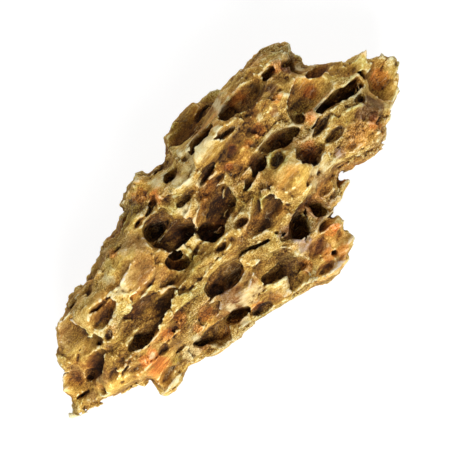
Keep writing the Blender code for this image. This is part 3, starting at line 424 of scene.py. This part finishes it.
# Each lamp's direction, power in watts and size in metres
LAMPS = (("key_light", (-0.43, -0.54, 0.74), 15.6, 0.6), ("fill_light", (0.62, 0.3, 0.6), 3, 1))
LAMP_DISTANCE = 1.2  # in metres


def spline_weights(places, low, high, gap):
    """One row for each place, with the cubic spline weights of the lattice values round it."""
    along = (places - low) / gap
    first = np.floor(along).astype(int)
    f = along - first
    shares = ((1 - f) ** 3, 3 * f**3 - 6 * f**2 + 4, 3 * f - 3 * f**3 + 3 * f**2 + 1, f**3)
    weights = np.zeros((len(places), int((high - low) / gap) + 4))
    for k, share in enumerate(shares):
        weights[np.arange(len(places)), first + k] = share / 6
    return weights


def smooth_noise(axes, gaps, seed):
    """Smooth noise from about -1 to 1 on the grid, from random values on a coarser lattice."""
    weights = [spline_weights(*ends) for ends in zip(axes, GRID_LOW, GRID_HIGH, gaps)]
    values = np.random.default_rng(seed).uniform(-2, 2, [w.shape[1] for w in weights])
    for axis, weight in enumerate(weights):
        values = np.moveaxis(np.tensordot(weight, values, (1, axis)), 0, axis)
    return values


def upright(heading):
    """The directions along, across and up for a heading in degrees."""
    c = math.cos(math.radians(heading))
    s = math.sin(math.radians(heading))
    return (c, s, 0), (-s, c, 0), (0, 0, 1)


def turned(x, y, heading):
    """The place (x, y) along and across a line with this heading in degrees."""
    c, s, _ = upright(heading)[0]
    return x * c + y * s, y * c - x * s


def distance_inside(x, y):
    """Distance in from the outline; negative outside it."""
    x, y = np.broadcast_arrays(x, y)
    nearest = np.full(x.shape, np.inf)
    inside = np.zeros(x.shape, bool)
    for (ax, ay), (bx, by) in zip(OUTLINE, OUTLINE[1:] + OUTLINE[:1]):
        ex, ey = bx - ax, by - ay
        share = np.clip(((x - ax) * ex + (y - ay) * ey) / (ex**2 + ey**2), 0, 1)
        nearest = np.minimum(nearest, np.hypot(x - ax - share * ex, y - ay - share * ey))
        if ey:
            inside ^= ((ay > y) != (by > y)) & (x < ax + ex * (y - ay) / ey)
    return np.where(inside, nearest, -nearest)


def bump(x, y, along, across, heading):
    """A flat-topped swelling, 1 at the middle."""
    u, v = turned(x, y, heading)
    return np.exp(-(((u / along) ** 2 + (v / across) ** 2) ** 2))


def nearness(x, y, places, power):
    """1 at the places, which are given as x, y and radius, and 0 well away from them."""
    near = np.zeros(np.broadcast(x, y).shape)
    for px, py, radius in places:
        near = np.maximum(near, np.exp(-((np.hypot(x - px, y - py) / radius) ** power)))
    return near


def with_humps(height, x, y, humps):
    for hx, hy, along, across, turn, rise in humps:
        height = height + rise * bump(x - hx, y - hy, along, across, turn)
    return height


def upper_height(x, y):
    """Height of the upper side, with its humps and the swellings round its pits."""
    swell = 0
    for px, py, a, b, turn, _ in HOLES + BOWLS:
        rim = bump(x - px, y - py, a + SWELL_REACH, b + SWELL_REACH, turn)
        swell = np.maximum(swell, (SWELL_LEAST + SWELL_SHARE * b) * rim)
    return with_humps(TOP, x, y, HUMPS) + swell


def lower_height(x, y):
    """Height of the underside: an arch, with feet that press a little below the floor."""
    arch = ARCH - (ARCH + FOOT_PRESS) * nearness(x, y, FEET, FOOT_POWER)
    return with_humps(arch, x, y, HOLLOWS_BENEATH)


def smooth_max(a, b, width):
    share = np.clip(0.5 + 0.5 * (a - b) / width, 0, 1)
    return a * share + b * (1 - share) + width * share * (1 - share)


def inset(z):
    """How far the sides draw in at this height."""
    above = np.clip((z - WIDEST_AT) / SHOULDER_RISE, 0, 1)
    below = BELLY_SHARE * np.clip((WIDEST_AT - z) / WIDEST_AT, 0, 1)
    return SHOULDER * (1 - np.sqrt(1 - above**2)) + BELLY * (1 - np.sqrt(1 - below**2))


def body(x, y, z):
    """The stone before its pits. x and y share one shape, which z is broadcast against."""
    sides = inset(z) - distance_inside(x, y) - OUTLINE_SPARE
    top = z - upper_height(x, y)
    return smooth_max(smooth_max(sides, top, UPPER_ROUNDING), lower_height(x, y) - z, LOWER_ROUNDING)


class Pit:
    """A hollow cut out of the stone: part of an ellipsoid that may lean as it goes in."""

    def __init__(self, mouth, frame, along, across, depth, sink, lean=(0, 0)):
        widest = math.sqrt(1 - (sink / (1 - sink)) ** 2)
        self.mouth = np.array(mouth)
        self.frame = np.array(frame)
        self.half = np.array([along / widest, across / widest, depth * (1 - sink)])
        self.sink = sink * depth
        self.lean = lean
        self.depth = depth
        self.power = min(SLOT_POWER + POWER_GAIN * min(along, across), MOST_POWER)

    def field(self, x, y, z):
        """Distance out of the pit, below zero in it."""
        x, y, z = x - self.mouth[0], y - self.mouth[1], z - self.mouth[2]
        u, v, out = (x * f[0] + y * f[1] + z * f[2] for f in self.frame)
        deep = np.maximum(-out - LEAN_BELOW, 0)
        shift = -deep * self.lean[0], -deep * self.lean[1]
        u = u + shift[0] * self.frame[0, 0] + shift[1] * self.frame[0, 1]
        v = v + shift[0] * self.frame[1, 0] + shift[1] * self.frame[1, 1]
        total, steep = 0, 0
        for offset, half in zip((u, v, out + self.sink), self.half):
            share = np.maximum(np.abs(offset / half), LEAST_SHARE)
            total = total + share**self.power
            steep = steep + (share ** (self.power - 1) / half) ** 2
        near = total ** (1 / self.power)
        return (near - 1) * total / np.maximum(near * np.sqrt(steep), TINY)

    def block(self, axes):
        """The part of the grid that the pit can reach."""
        reach = np.sqrt(((self.frame * self.half[:, None]) ** 2).sum(0)) + PIT_MARGIN
        middle = self.mouth - self.frame[2] * self.sink
        slip = np.array([*self.lean, 0]) * (self.depth + PIT_MARGIN)
        low = middle - reach + np.minimum(slip, 0)
        high = middle + reach + np.maximum(slip, 0)
        return tuple(slice(*np.searchsorted(a, ends)) for a, *ends in zip(axes, low, high))


def surface_height(x, y):
    """Height at which a drop from above meets the body."""
    z = np.arange(0, GRID_HIGH[2], HEIGHT_STEP)
    solid = body(np.full(1, x), np.full(1, y), z) < 0
    return z[solid].max() if solid.any() else WIDEST_AT


def upper_pits():
    """The pits of the upper side. Holes and bowls lean, less so near the outline."""
    pits = []
    for table, sink in PIT_TABLES:
        for x, y, along, across, heading, depth in table:
            room = (float(distance_inside(x, y)) - LEAN_FROM) / (LEAN_FULL - LEAN_FROM)
            lean = (LEAN_X, LEAN_Y * min(max(room, 0), 1)) if sink >= 0 else (0, 0)
            mouth = (x, y, surface_height(x, y))
            pits.append(Pit(mouth, upright(heading), along, across, depth, sink, lean))
    return pits


def walls():
    """The thin walls, each as the shape of a pit that is left solid."""
    kept = []
    for x, y, along, across, heading, below, half_height in WALLS:
        middle = (x, y, surface_height(x, y) - below)
        kept.append(Pit(middle, upright(heading), along, across, half_height, sink=0))
    return kept


def outward(place):
    """Direction straight out of the body's surface at a place."""
    rise = body(*(place + np.eye(3)).T) - body(*(place - np.eye(3)).T)
    return rise / np.linalg.norm(rise)


def side_pits():
    """Pits that face out of the sides and the underside."""
    rng = np.random.default_rng(SIDE_PIT_SEED)
    pits = []
    while len(pits) < SIDE_PITS:
        x = rng.uniform(-SIDE_PIT_REACH, SIDE_PIT_REACH)
        start = np.array([x, AXIS_Y + AXIS_SLOPE * x, AXIS_HEIGHT])
        angle = rng.uniform(0, 2 * math.pi)
        ray = np.array([rng.uniform(-RAY_SLANT, RAY_SLANT), math.cos(angle), math.sin(angle)])
        half = rng.uniform(*SIDE_PIT_HALF_WIDTHS)
        along = half * rng.uniform(*SIDE_PIT_STRETCH)
        depth = half * rng.uniform(*SIDE_PIT_DEPTHS)
        heading = rng.normal(0, SIDE_PIT_TURN)
        sink = BOWL_SINK if rng.random() < BOWL_ODDS else HOLE_SINK
        line = start + np.arange(0, OUTLINE_REACH, RAY_STEP)[:, None] * ray / np.linalg.norm(ray)
        solid = body(*line.T) < 0
        if not solid[0]:
            continue
        mouth = line[solid.argmin() - 1]
        out = outward(mouth)
        if out[2] > STEEPEST_UP:
            continue
        lengthwise = np.array([math.cos(heading), 0, 0]) + math.sin(heading) * np.cross(out, (1, 0, 0))
        lengthwise -= out * (lengthwise @ out)
        lengthwise /= np.linalg.norm(lengthwise)
        frame = (lengthwise, np.cross(out, lengthwise), out)
        pits.append(Pit(mouth, frame, along, half, depth, sink))
    return pits


def scales(places, size, seed, tilt, bowl):
    """Overlapping hollows that deepen to one side: about 0.5 in the deepest, and -0.5 on the crests."""
    first = np.floor(np.divide(CELLS_LOW, size)).astype(int) - 1
    count = np.floor(np.divide(CELLS_HIGH, size)).astype(int) - first + 2
    scatter = np.random.default_rng(seed).uniform(*SCATTER, (*count, 3))
    cells = np.clip(places, CELLS_LOW, CELLS_HIGH) / size - first
    low = np.floor(cells).astype(int) - 1
    nearest = np.full(len(cells), np.inf)
    slope = np.zeros(len(cells))
    for offset in np.ndindex(3, 3, 3):
        cell = low + offset
        gap = cells - cell - scatter[cell[:, 0], cell[:, 1], cell[:, 2]]
        far = (gap**2).sum(1)
        closer = far < nearest
        nearest[closer] = far[closer]
        slope[closer] = (gap @ np.array(tilt))[closer]
    return SCALE_DEPTH - bowl * nearest + slope


def calmness(places, edge):
    """1 where the scales are at full depth, less in the smooth places and near the outline."""
    x, y, z = places.T
    beside = (np.maximum(edge, 0) / EDGE_WIDTH) ** 2
    calm = 1 - EDGE_CALM * np.exp(-beside - ((z - WIDEST_AT) / EDGE_HEIGHT) ** 2)
    near = nearness(x, y, CALM_PLACES, CALM_POWER) * (z > WIDEST_AT)
    return np.minimum(calm, 1 - (1 - CALMEST) * near) * np.clip(z / FADE_HEIGHT, CALMEST, 1)


def scale_dents(places, calm, strength):
    """How deep the scales of both sizes are at the places."""
    upper = np.clip((places[:, 2] - UPPER_FROM) / (UPPER_FULL - UPPER_FROM), 0, 1)
    dents = np.full(len(places), -np.inf)
    for size, depth, upper_depth, tilt, seed in SCALES:
        depths = depth + (upper_depth - depth) * upper
        dents = np.maximum(dents, depths * scales(places, size, seed, tilt, BOWL))
    return dents * strength * calm


def noise_of(axes, terms):
    size, height, seed = terms
    return height * smooth_noise(axes, size, seed)


def stone_fields():
    """(axes, ground, field): the stone before its pits, and the finished stone."""
    axes = [np.arange(low, high, GRID_STEP) for low, high in zip(GRID_LOW, GRID_HIGH)]
    x, y, z = axes[0][:, None, None], axes[1][None, :, None], axes[2][None, None, :]
    ground = body(x, y, z) + noise_of(axes, UNEVEN)
    sway = [sum(noise_of(axes, (size, far, seed + k)) for size, far, seed in SWAYS) for k in range(3)]
    hollow = np.full(ground.shape, -FAR)
    hollows = [(pit, False) for pit in upper_pits() + side_pits()]
    for shape, joined in hollows + [(wall, True) for wall in walls()]:
        i, j, k = part = shape.block(axes)
        out = shape.field(x[i] + sway[0][part], y[:, j] + sway[1][part], z[:, :, k] + sway[2][part])
        hollow[part] = np.minimum(hollow[part], out) if joined else np.maximum(hollow[part], -out)
    field = np.maximum(ground, hollow)
    band = np.nonzero(np.abs(field) < DENT_REACH)
    places = np.stack([a[n] for a, n in zip(axes, band)], 1)
    calm = calmness(places, distance_inside(x[:, :, 0], y[:, :, 0])[band[0], band[1]])
    places += np.stack([s[band] for s in sway], 1)
    strength = np.clip(MEAN_STRENGTH + noise_of(axes, PATCHY)[band], LEAST_STRENGTH, MOST_STRENGTH)
    dents = scale_dents(places, calm, strength)
    for share, (depth, *terms) in ((FINE_CALM + (1 - FINE_CALM) * calm, FINE_SCALES), (1, PLATES)):
        dents += share * depth * scales(places, *terms)
    grooves = noise_of(axes, GROOVES)[band]
    dents += grooves + noise_of(axes, RAGGED)[band]
    for size, height, seed in RIDGES:
        ridge = 2 * np.abs(smooth_noise(axes, size, seed)[band]) - 0.5
        dents += height * (RIDGE_CALM + (1 - RIDGE_CALM) * calm) * ridge
    in_pits = hollow[band] + PIT_SHARE * np.maximum(dents, -PIT_CREST) + PIT_GROOVES * grooves
    field[band] = np.maximum(ground[band] + np.maximum(dents, -CREST), in_pits)
    return axes, ground, np.maximum(field, -z)


def mend(field):
    """Fills the points where two parts of the surface would meet at only an edge or a corner."""
    low, high, whole = slice(None, -1), slice(1, None), slice(None)
    pairs = [(i, j) for j in (low, high) for i in (low, high)]
    squares = [[(*pair[:axis], whole, *pair[axis:]) for pair in pairs] for axis in (2, 1, 0)]
    corners = [(i, j, k) for i in (low, high) for j in (low, high) for k in (low, high)]
    filled = True
    while filled:
        filled = False
        for square in squares:
            for one, two, gap, other in ((0, 3, 1, 2), (1, 2, 0, 3)):
                solid = field < 0
                bad = solid[square[one]] & solid[square[two]] & ~solid[square[gap]] & ~solid[square[other]]
                field[square[gap]][bad] = JUST_INSIDE
                filled |= bool(bad.any())
        for n in range(4):
            solid = field < 0
            count = sum(solid[corner].astype(int) for corner in corners)
            alone = solid[corners[n]] & solid[corners[7 - n]] & (count == 2)
            holed = ~solid[corners[n]] & ~solid[corners[7 - n]] & (count == 6)
            field[corners[n ^ 4]][alone] = JUST_INSIDE
            field[corners[n]][holed] = JUST_INSIDE
            filled |= bool(alone.any() or holed.any())


def surface(axes, field):
    """Points and four-sided faces of the field's zero surface, with one point in each cell it crosses."""
    solid = field < 0
    places, cells, faces = [], [], []
    for axis in range(3):
        low = tuple(slice(None, -1) if n == axis else slice(None) for n in range(3))
        high = tuple(slice(1, None) if n == axis else slice(None) for n in range(3))
        at = np.nonzero(solid[low] != solid[high])
        before, after = field[low][at], field[high][at]
        place = np.stack(at, 1).astype(float)
        place[:, axis] += before / (before - after)
        ring = []
        for back, down in ((1, 1), (0, 1), (0, 0), (1, 0)):
            cell = np.array(at)
            cell[(axis + 1) % 3] -= back
            cell[(axis + 2) % 3] -= down
            ring.append(np.ravel_multi_index(tuple(cell), field.shape))
        ring = np.stack(ring, 1)
        facing = solid[low][at][:, None]
        faces.append(np.where(facing, ring, ring[:, ::-1]))
        places.append(np.repeat(place, 4, 0))
        cells.append(ring.reshape(-1))
    used, index = np.unique(np.concatenate(cells), return_inverse=True)
    places = np.concatenate(places)
    count = np.bincount(index)
    points = np.stack([np.bincount(index, places[:, n]) / count for n in range(3)], 1)
    return np.array(GRID_LOW) + points * GRID_STEP, np.searchsorted(used, np.concatenate(faces))


def keep_largest(points, faces):
    """Leaves out every piece but the one with the most points."""
    label = np.arange(len(points))
    settled = False
    while not settled:
        lowest = label[faces].min(1)
        new = label.copy()
        for k in range(4):
            np.minimum.at(new, faces[:, k], lowest)
        new = new[new]
        settled = (new == label).all()
        label = new
    kept = label == np.bincount(label).argmax()
    return points[kept], (np.cumsum(kept) - 1)[faces[kept[faces[:, 0]]]]


def blurred(values, radius):
    """The mean of the values in a box of this half width, along each axis in turn."""
    reach = max(1, round(radius / GRID_STEP))
    for axis in range(3):
        ends = [(reach + 1, reach) if n == axis else (0, 0) for n in range(3)]
        total = np.cumsum(np.pad(values, ends, mode="edge"), axis, dtype=np.float32)
        high = np.take(total, range(2 * reach + 1, total.shape[axis]), axis)
        low = np.take(total, range(total.shape[axis] - 2 * reach - 1), axis)
        values = (high - low) / (2 * reach + 1)
    return values


def sampled(values, axes, points):
    """Values of the grid at points, in a straight line between its own."""
    place = (points - [a[0] for a in axes]) / GRID_STEP
    low = np.clip(np.floor(place).astype(int), 0, np.array(values.shape) - 2)
    share = place - low
    found = np.zeros(len(points))
    for corner in np.ndindex(2, 2, 2):
        weight = np.prod(np.where(corner, share, 1 - share), axis=1)
        found += weight * values[tuple((low + corner).T)]
    return found


def add_values(mesh, name, values):
    """Gives each of the mesh's points a value, for its material."""
    layer = mesh.attributes.new(name, "FLOAT", "POINT")
    layer.data.foreach_set("value", np.ascontiguousarray(values, np.float32))


def facing_up(points, ground, axes):
    """1 where the body's side looks up, and 0 on its steep flanks and its underside."""
    step = np.array([0, 0, FLANK_STEP])
    rise = sampled(ground, axes, points + step) - sampled(ground, axes, points - step)
    level = (rise / (2 * FLANK_STEP) - STEEP) / (LEVEL - STEEP)
    high = (points[:, 2] - PATCHES_FROM) / (PATCHES_FULL - PATCHES_FROM)
    return np.clip(level, 0, 1) * np.clip(high, 0, 1)


def rows_of(collection, name, width, kind=np.float32):
    """The values of this name of every item, one row for each."""
    values = np.empty(width * len(collection), kind)
    collection.foreach_get(name, values)
    return values.reshape(-1, width)


def sharpness(mesh, points):
    """How far the surface bends at each point: above 0 on crests and below 0 in corners."""
    normals = rows_of(mesh.vertex_normals, "vector", 3)
    ends = rows_of(mesh.edges, "vertices", 2, np.int32)
    first, second = ends.T
    along = points[second] - points[first]
    along /= np.maximum(np.linalg.norm(along, axis=1), TINY)[:, None]
    bend = np.bincount(first, -(normals[first] * along).sum(1), len(points))
    bend += np.bincount(second, (normals[second] * along).sum(1), len(points))
    return bend / np.maximum(np.bincount(ends.reshape(-1), minlength=len(points)), 1)


def fitted(points):
    """The points in metres, in the middle of the model's box and at its full length."""
    low, high = points.min(0), points.max(0)
    middle = (low + high) / 2
    middle[2] = 0
    wanted = (Vector(CAD_LOW) + Vector(CAD_HIGH)) / 2
    scale = (CAD_HIGH[0] - CAD_LOW[0]) / (high[0] - low[0])
    return (points - middle) * scale + [*wanted.xy, 0]


def added(name, data):
    """A new object in the scene."""
    made = bpy.data.objects.new(name, data)
    bpy.context.scene.collection.objects.link(made)
    return made


def thinned(name, points, faces):
    """An object of this name with the mesh, brought down to its number of triangles."""
    mesh = bpy.data.meshes.new(name)
    mesh.from_pydata(points, [], faces)
    made = added(name, mesh)
    thin = made.modifiers.new("fewer_faces", "DECIMATE")
    thin.ratio = min(1, TRIANGLES / (2 * len(faces)))
    graph = bpy.context.evaluated_depsgraph_get()
    mesh = bpy.data.meshes.new_from_object(made.evaluated_get(graph))
    made.modifiers.clear()
    made.data = mesh
    return made


def add_colour_values(mesh, points, axes, ground, field):
    """Gives the mesh every value that its colours depend on."""
    # These values are used to paint shade in hollows, creases and deep places, and highlight on crests
    for name, radii in SOLID_SHARES:
        share = (field < 0).astype(np.float32)
        for radius in radii:
            share = blurred(share, radius)
        add_values(mesh, name, sampled(share, axes, points))
    add_values(mesh, "depth", -sampled(ground, axes, points))
    add_values(mesh, "sharp", sharpness(mesh, points))
    x, y, _ = points.T
    add_values(mesh, "smooth", nearness(x, y, CALM_PLACES, PATCH_POWER))
    upper = facing_up(points, ground, axes)
    add_values(mesh, "cream_highlight", nearness(x, y, CREAM_HIGHLIGHT_PLACES, PATCH_POWER) * upper)
    for name, _, _, places in PATCHES:
        add_values(mesh, name, nearness(x, y, places, PATCH_POWER) * upper)


def make_stone():
    axes, ground, field = stone_fields()
    mend(field)
    stone = thinned("dragon_stone", *keep_largest(*surface(axes, field)))
    mesh = stone.data
    points = rows_of(mesh.vertices, "co", 3).astype(float)
    add_colour_values(mesh, points, axes, ground, field)
    mesh.vertices.foreach_set("co", fitted(points).astype(np.float32).reshape(-1))
    mesh.update()
    mesh.shade_smooth()
    mesh.materials.append(stone_material())
    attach(stone, "root")
    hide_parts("stone")


class Shader:
    """A material's nodes, made one after another."""

    def __init__(self, name):
        self.material = bpy.data.materials.new(name)
        self.material.use_nodes = True
        self.tree = self.material.node_tree
        self.surface = self.tree.nodes["Principled BSDF"]

    def node(self, kind, **settings):
        made = self.tree.nodes.new(kind)
        for name, value in settings.items():
            setattr(made, name, value)
        return made

    def put(self, node, values):
        """Sets each named socket of the node to a number or a colour, or links it to another socket."""
        for name, value in values.items():
            if isinstance(value, bpy.types.NodeSocket):
                self.tree.links.new(value, node.inputs[name])
            else:
                node.inputs[name].default_value = value

    def attribute(self, name):
        return self.node("ShaderNodeAttribute", attribute_name=name).outputs["Fac"]

    def place(self, stretch):
        """Object coordinates in millimetres, divided along each axis by the size of the pattern."""
        coordinates = self.node("ShaderNodeTexCoord").outputs["Object"]
        mapping = self.node("ShaderNodeMapping")
        self.put(mapping, {"Vector": coordinates, "Scale": [1 / (MM * size) for size in stretch]})
        return mapping.outputs["Vector"]

    def noise(self, size, detail, roughness, shift, distortion=0):
        made = self.node("ShaderNodeTexNoise", noise_dimensions="4D")
        self.put(made, {"Vector": self.place(size), "W": shift, "Scale": 1})
        self.put(made, {"Detail": detail, "Roughness": roughness, "Distortion": distortion})
        return made.outputs["Fac"]

    def swing(self, terms):
        """Noise from about -0.5 to 0.5."""
        return self.math("SUBTRACT", self.noise(*terms), 0.5)

    def flakes(self, size, seed):
        """(tone, edge): a random tone for each of many ragged cells, and the distance to their edges."""
        noise = self.node("ShaderNodeTexNoise", noise_dimensions="4D")
        waves = self.place([value * FLAKE_WAVES for value in size])
        self.put(noise, {"Vector": waves, "W": seed, "Detail": FLAKE_DETAIL})
        offset = self.node("ShaderNodeVectorMath", operation="SCALE")
        self.put(offset, {0: noise.outputs["Color"], "Scale": FLAKE_RAGGED})
        moved = self.node("ShaderNodeVectorMath", operation="ADD")
        self.put(moved, {0: self.place(size), 1: offset.outputs["Vector"]})
        found = []
        for feature, output in (("F1", "Color"), ("DISTANCE_TO_EDGE", "Distance")):
            cells = self.node("ShaderNodeTexVoronoi", voronoi_dimensions="3D", feature=feature)
            self.put(cells, {"Vector": moved.outputs["Vector"], "Scale": 1})
            found.append(cells.outputs[output])
        return found

    def math(self, operation, first, second=0):
        made = self.node("ShaderNodeMath", operation=operation)
        self.put(made, {0: first, 1: second})
        return made.outputs[0]

    def plus(self, value, part, share):
        """The value with a share of the part added."""
        return self.math("ADD", value, self.math("MULTIPLY", part, share))

    def ranged(self, value, low, high, to_low, to_high):
        made = self.node("ShaderNodeMapRange")
        self.put(made, {"Value": value, "From Min": low, "From Max": high})
        self.put(made, {"To Min": to_low, "To Max": to_high})
        return made.outputs["Result"]

    def ramp(self, value, stops):
        made = self.node("ShaderNodeValToRGB")
        self.put(made, {"Fac": value})
        elements = made.color_ramp.elements
        while len(elements) < len(stops):
            elements.new(0.5)
        for element, (place, colour) in zip(elements, stops):
            element.position = place
            element.color = (*colour, 1)
        return made.outputs["Color"]

    def mix(self, share, first, second, blend="MIX"):
        made = self.node("ShaderNodeMix", data_type="RGBA", blend_type=blend)
        self.put(made, {MIX_SHARE: share, MIX_FIRST: first, MIX_SECOND: second})
        return made.outputs[MIX_RESULT]

    def bump(self, height, distance, strength, under=None):
        made = self.node("ShaderNodeBump")
        self.put(made, {"Strength": strength, "Distance": distance * MM, "Height": height})
        if under is not None:
            self.put(made, {"Normal": under})
        return made.outputs["Normal"]


def stone_paleness(shader, specks, mottling, streaks, pale_highlit_crest):
    """High on the crests and low in the pits, as painted highlight and shade, broken up by streaks,
    blotches, flakes and specks.
    """
    texture = shader.plus(shader.math("MULTIPLY", specks, SPECK_TONE), mottling, MOTTLING_TONE)
    for size, seed, tone, width, dark in FLAKES:
        tones, edges = shader.flakes(size, seed)
        texture = shader.math("ADD", texture, shader.ranged(tones, 0, 1, -tone, tone))
        texture = shader.math("ADD", texture, shader.ranged(edges, 0, width, dark, 0))
    textured = shader.ranged(shader.attribute("smooth"), *TEXTURE_SHARES)
    paleness = shader.math("ADD", shader.math("MULTIPLY", texture, textured), PALENESS)
    for name, *limits in PALENESS_STEPS:
        paleness = shader.math("ADD", paleness, shader.ranged(shader.attribute(name), *limits))
    paleness = shader.plus(paleness, streaks, STREAK_TONE)
    paleness = shader.plus(paleness, shader.swing(BROAD), BROAD_TONE)
    paleness = shader.plus(paleness, shader.swing(BLOTCHES), BLOTCH_TONE)
    return shader.math("ADD", paleness, shader.ranged(pale_highlit_crest, *CREAM_HIGHLIGHT_GAIN))


def veined(shader, colour):
    """The colour with thin pale lines in some places."""
    line = shader.ranged(shader.math("ABSOLUTE", shader.swing(VEINS)), *VEIN_WIDTHS)
    somewhere = shader.ranged(shader.noise(*VEIN_PLACES), *VEIN_SHARES)
    return shader.mix(shader.math("MULTIPLY", line, somewhere), colour, VEIN)


def stone_colour(shader, paleness, mottling, ragged, pale_highlit_crest):
    """The tones, with a slow drift of hue, ragged patches (some of them painted light and shade), pale
    crests that are partly painted highlight, and veins.
    """
    colour = shader.ramp(paleness, TONES)
    drift = shader.noise(*DRIFT)
    for tint, *limits in DRIFTS:
        colour = shader.mix(shader.ranged(drift, *limits), colour, tint, "MULTIPLY")
    for name, tint, share, _ in PATCHES:
        near = shader.plus(shader.attribute(name), ragged, PATCH_RAGGED)
        where = shader.ranged(near, *PATCH_EDGE, 0, share)
        colour = shader.mix(where, colour, (*tint, 1), "MULTIPLY")
    # Pale crests: partly the stone's own pale yellow, partly painted highlight
    cream_highlight = shader.ranged(shader.plus(pale_highlit_crest, mottling, CREAM_HIGHLIGHT_BROKEN), *CREAM_HIGHLIGHT_SHARES)
    colour = shader.mix(cream_highlight, colour, shader.ramp(paleness, CREAM_HIGHLIGHT_TONES))
    return veined(shader, colour)


def stone_material():
    shader = Shader("weathered_clay")
    streaks, mottling, ragged = (shader.swing(terms) for terms in (STREAKS, MOTTLING, RAGGED_EDGES))
    grainy = shader.ranged(shader.noise(*GRAIN), *GRAIN_SHARES)
    specks = shader.math("MULTIPLY", shader.swing(SPECKS), grainy)
    pale_highlit_crest = shader.plus(shader.attribute("cream_highlight"), ragged, CREAM_HIGHLIGHT_RAGGED)
    paleness = stone_paleness(shader, specks, mottling, streaks, pale_highlit_crest)
    colour = stone_colour(shader, paleness, mottling, ragged, pale_highlit_crest)
    coarse = shader.bump(streaks, *COARSE_BUMP)
    textured = shader.ranged(shader.attribute("smooth"), *TEXTURE_SHARES)
    fine = shader.bump(shader.math("MULTIPLY", specks, textured), *FINE_BUMP, coarse)
    roughness = shader.ranged(specks, *ROUGHNESS)
    shader.put(shader.surface, {"Base Color": colour, "Roughness": roughness, "Normal": fine})
    shader.put(shader.surface, {"Specular IOR Level": SPECULAR})
    return shader.material


def make_floor():
    bpy.ops.mesh.primitive_plane_add(size=FLOOR_SIZE, location=(0, 0, -FLOOR_DROP))
    floor = bpy.context.object
    floor.name = "floor"
    shader = Shader("pale_floor")
    shader.put(shader.surface, {"Base Color": FLOOR_COLOUR, "Roughness": FLOOR_ROUGHNESS})
    shader.put(shader.surface, {"Emission Color": WHITE, "Emission Strength": FLOOR_GLOW})
    floor.data.materials.append(shader.material)


def make_camera():
    data = bpy.data.cameras.new("camera")
    data.lens = LENS
    data.sensor_width = SENSOR
    camera = added("camera", data)
    camera.location = (*VIEW_MIDDLE, VIEW_WIDTH * LENS / SENSOR + WIDEST_AT * MM)
    camera.rotation_euler = (0, 0, CAMERA_TURN)
    bpy.context.scene.camera = camera


def make_lamp(name, direction, power, size):
    data = bpy.data.lights.new(name, "AREA")
    data.energy = power
    data.size = size
    lamp = added(name, data)
    toward = Vector(direction).normalized()
    lamp.location = toward * LAMP_DISTANCE
    lamp.rotation_euler = (-toward).to_track_quat("-Z", "Y").to_euler()


def make_light():
    world = bpy.data.worlds.new("studio")
    world.use_nodes = True
    sky = world.node_tree.nodes["Background"]
    sky.inputs["Color"].default_value = WHITE
    sky.inputs["Strength"].default_value = SKY
    bpy.context.scene.world = world
    bpy.context.scene.view_settings.view_transform = "Standard"
    for terms in LAMPS:
        make_lamp(*terms)


make_camera()
make_light()
make_floor()
make_stone()
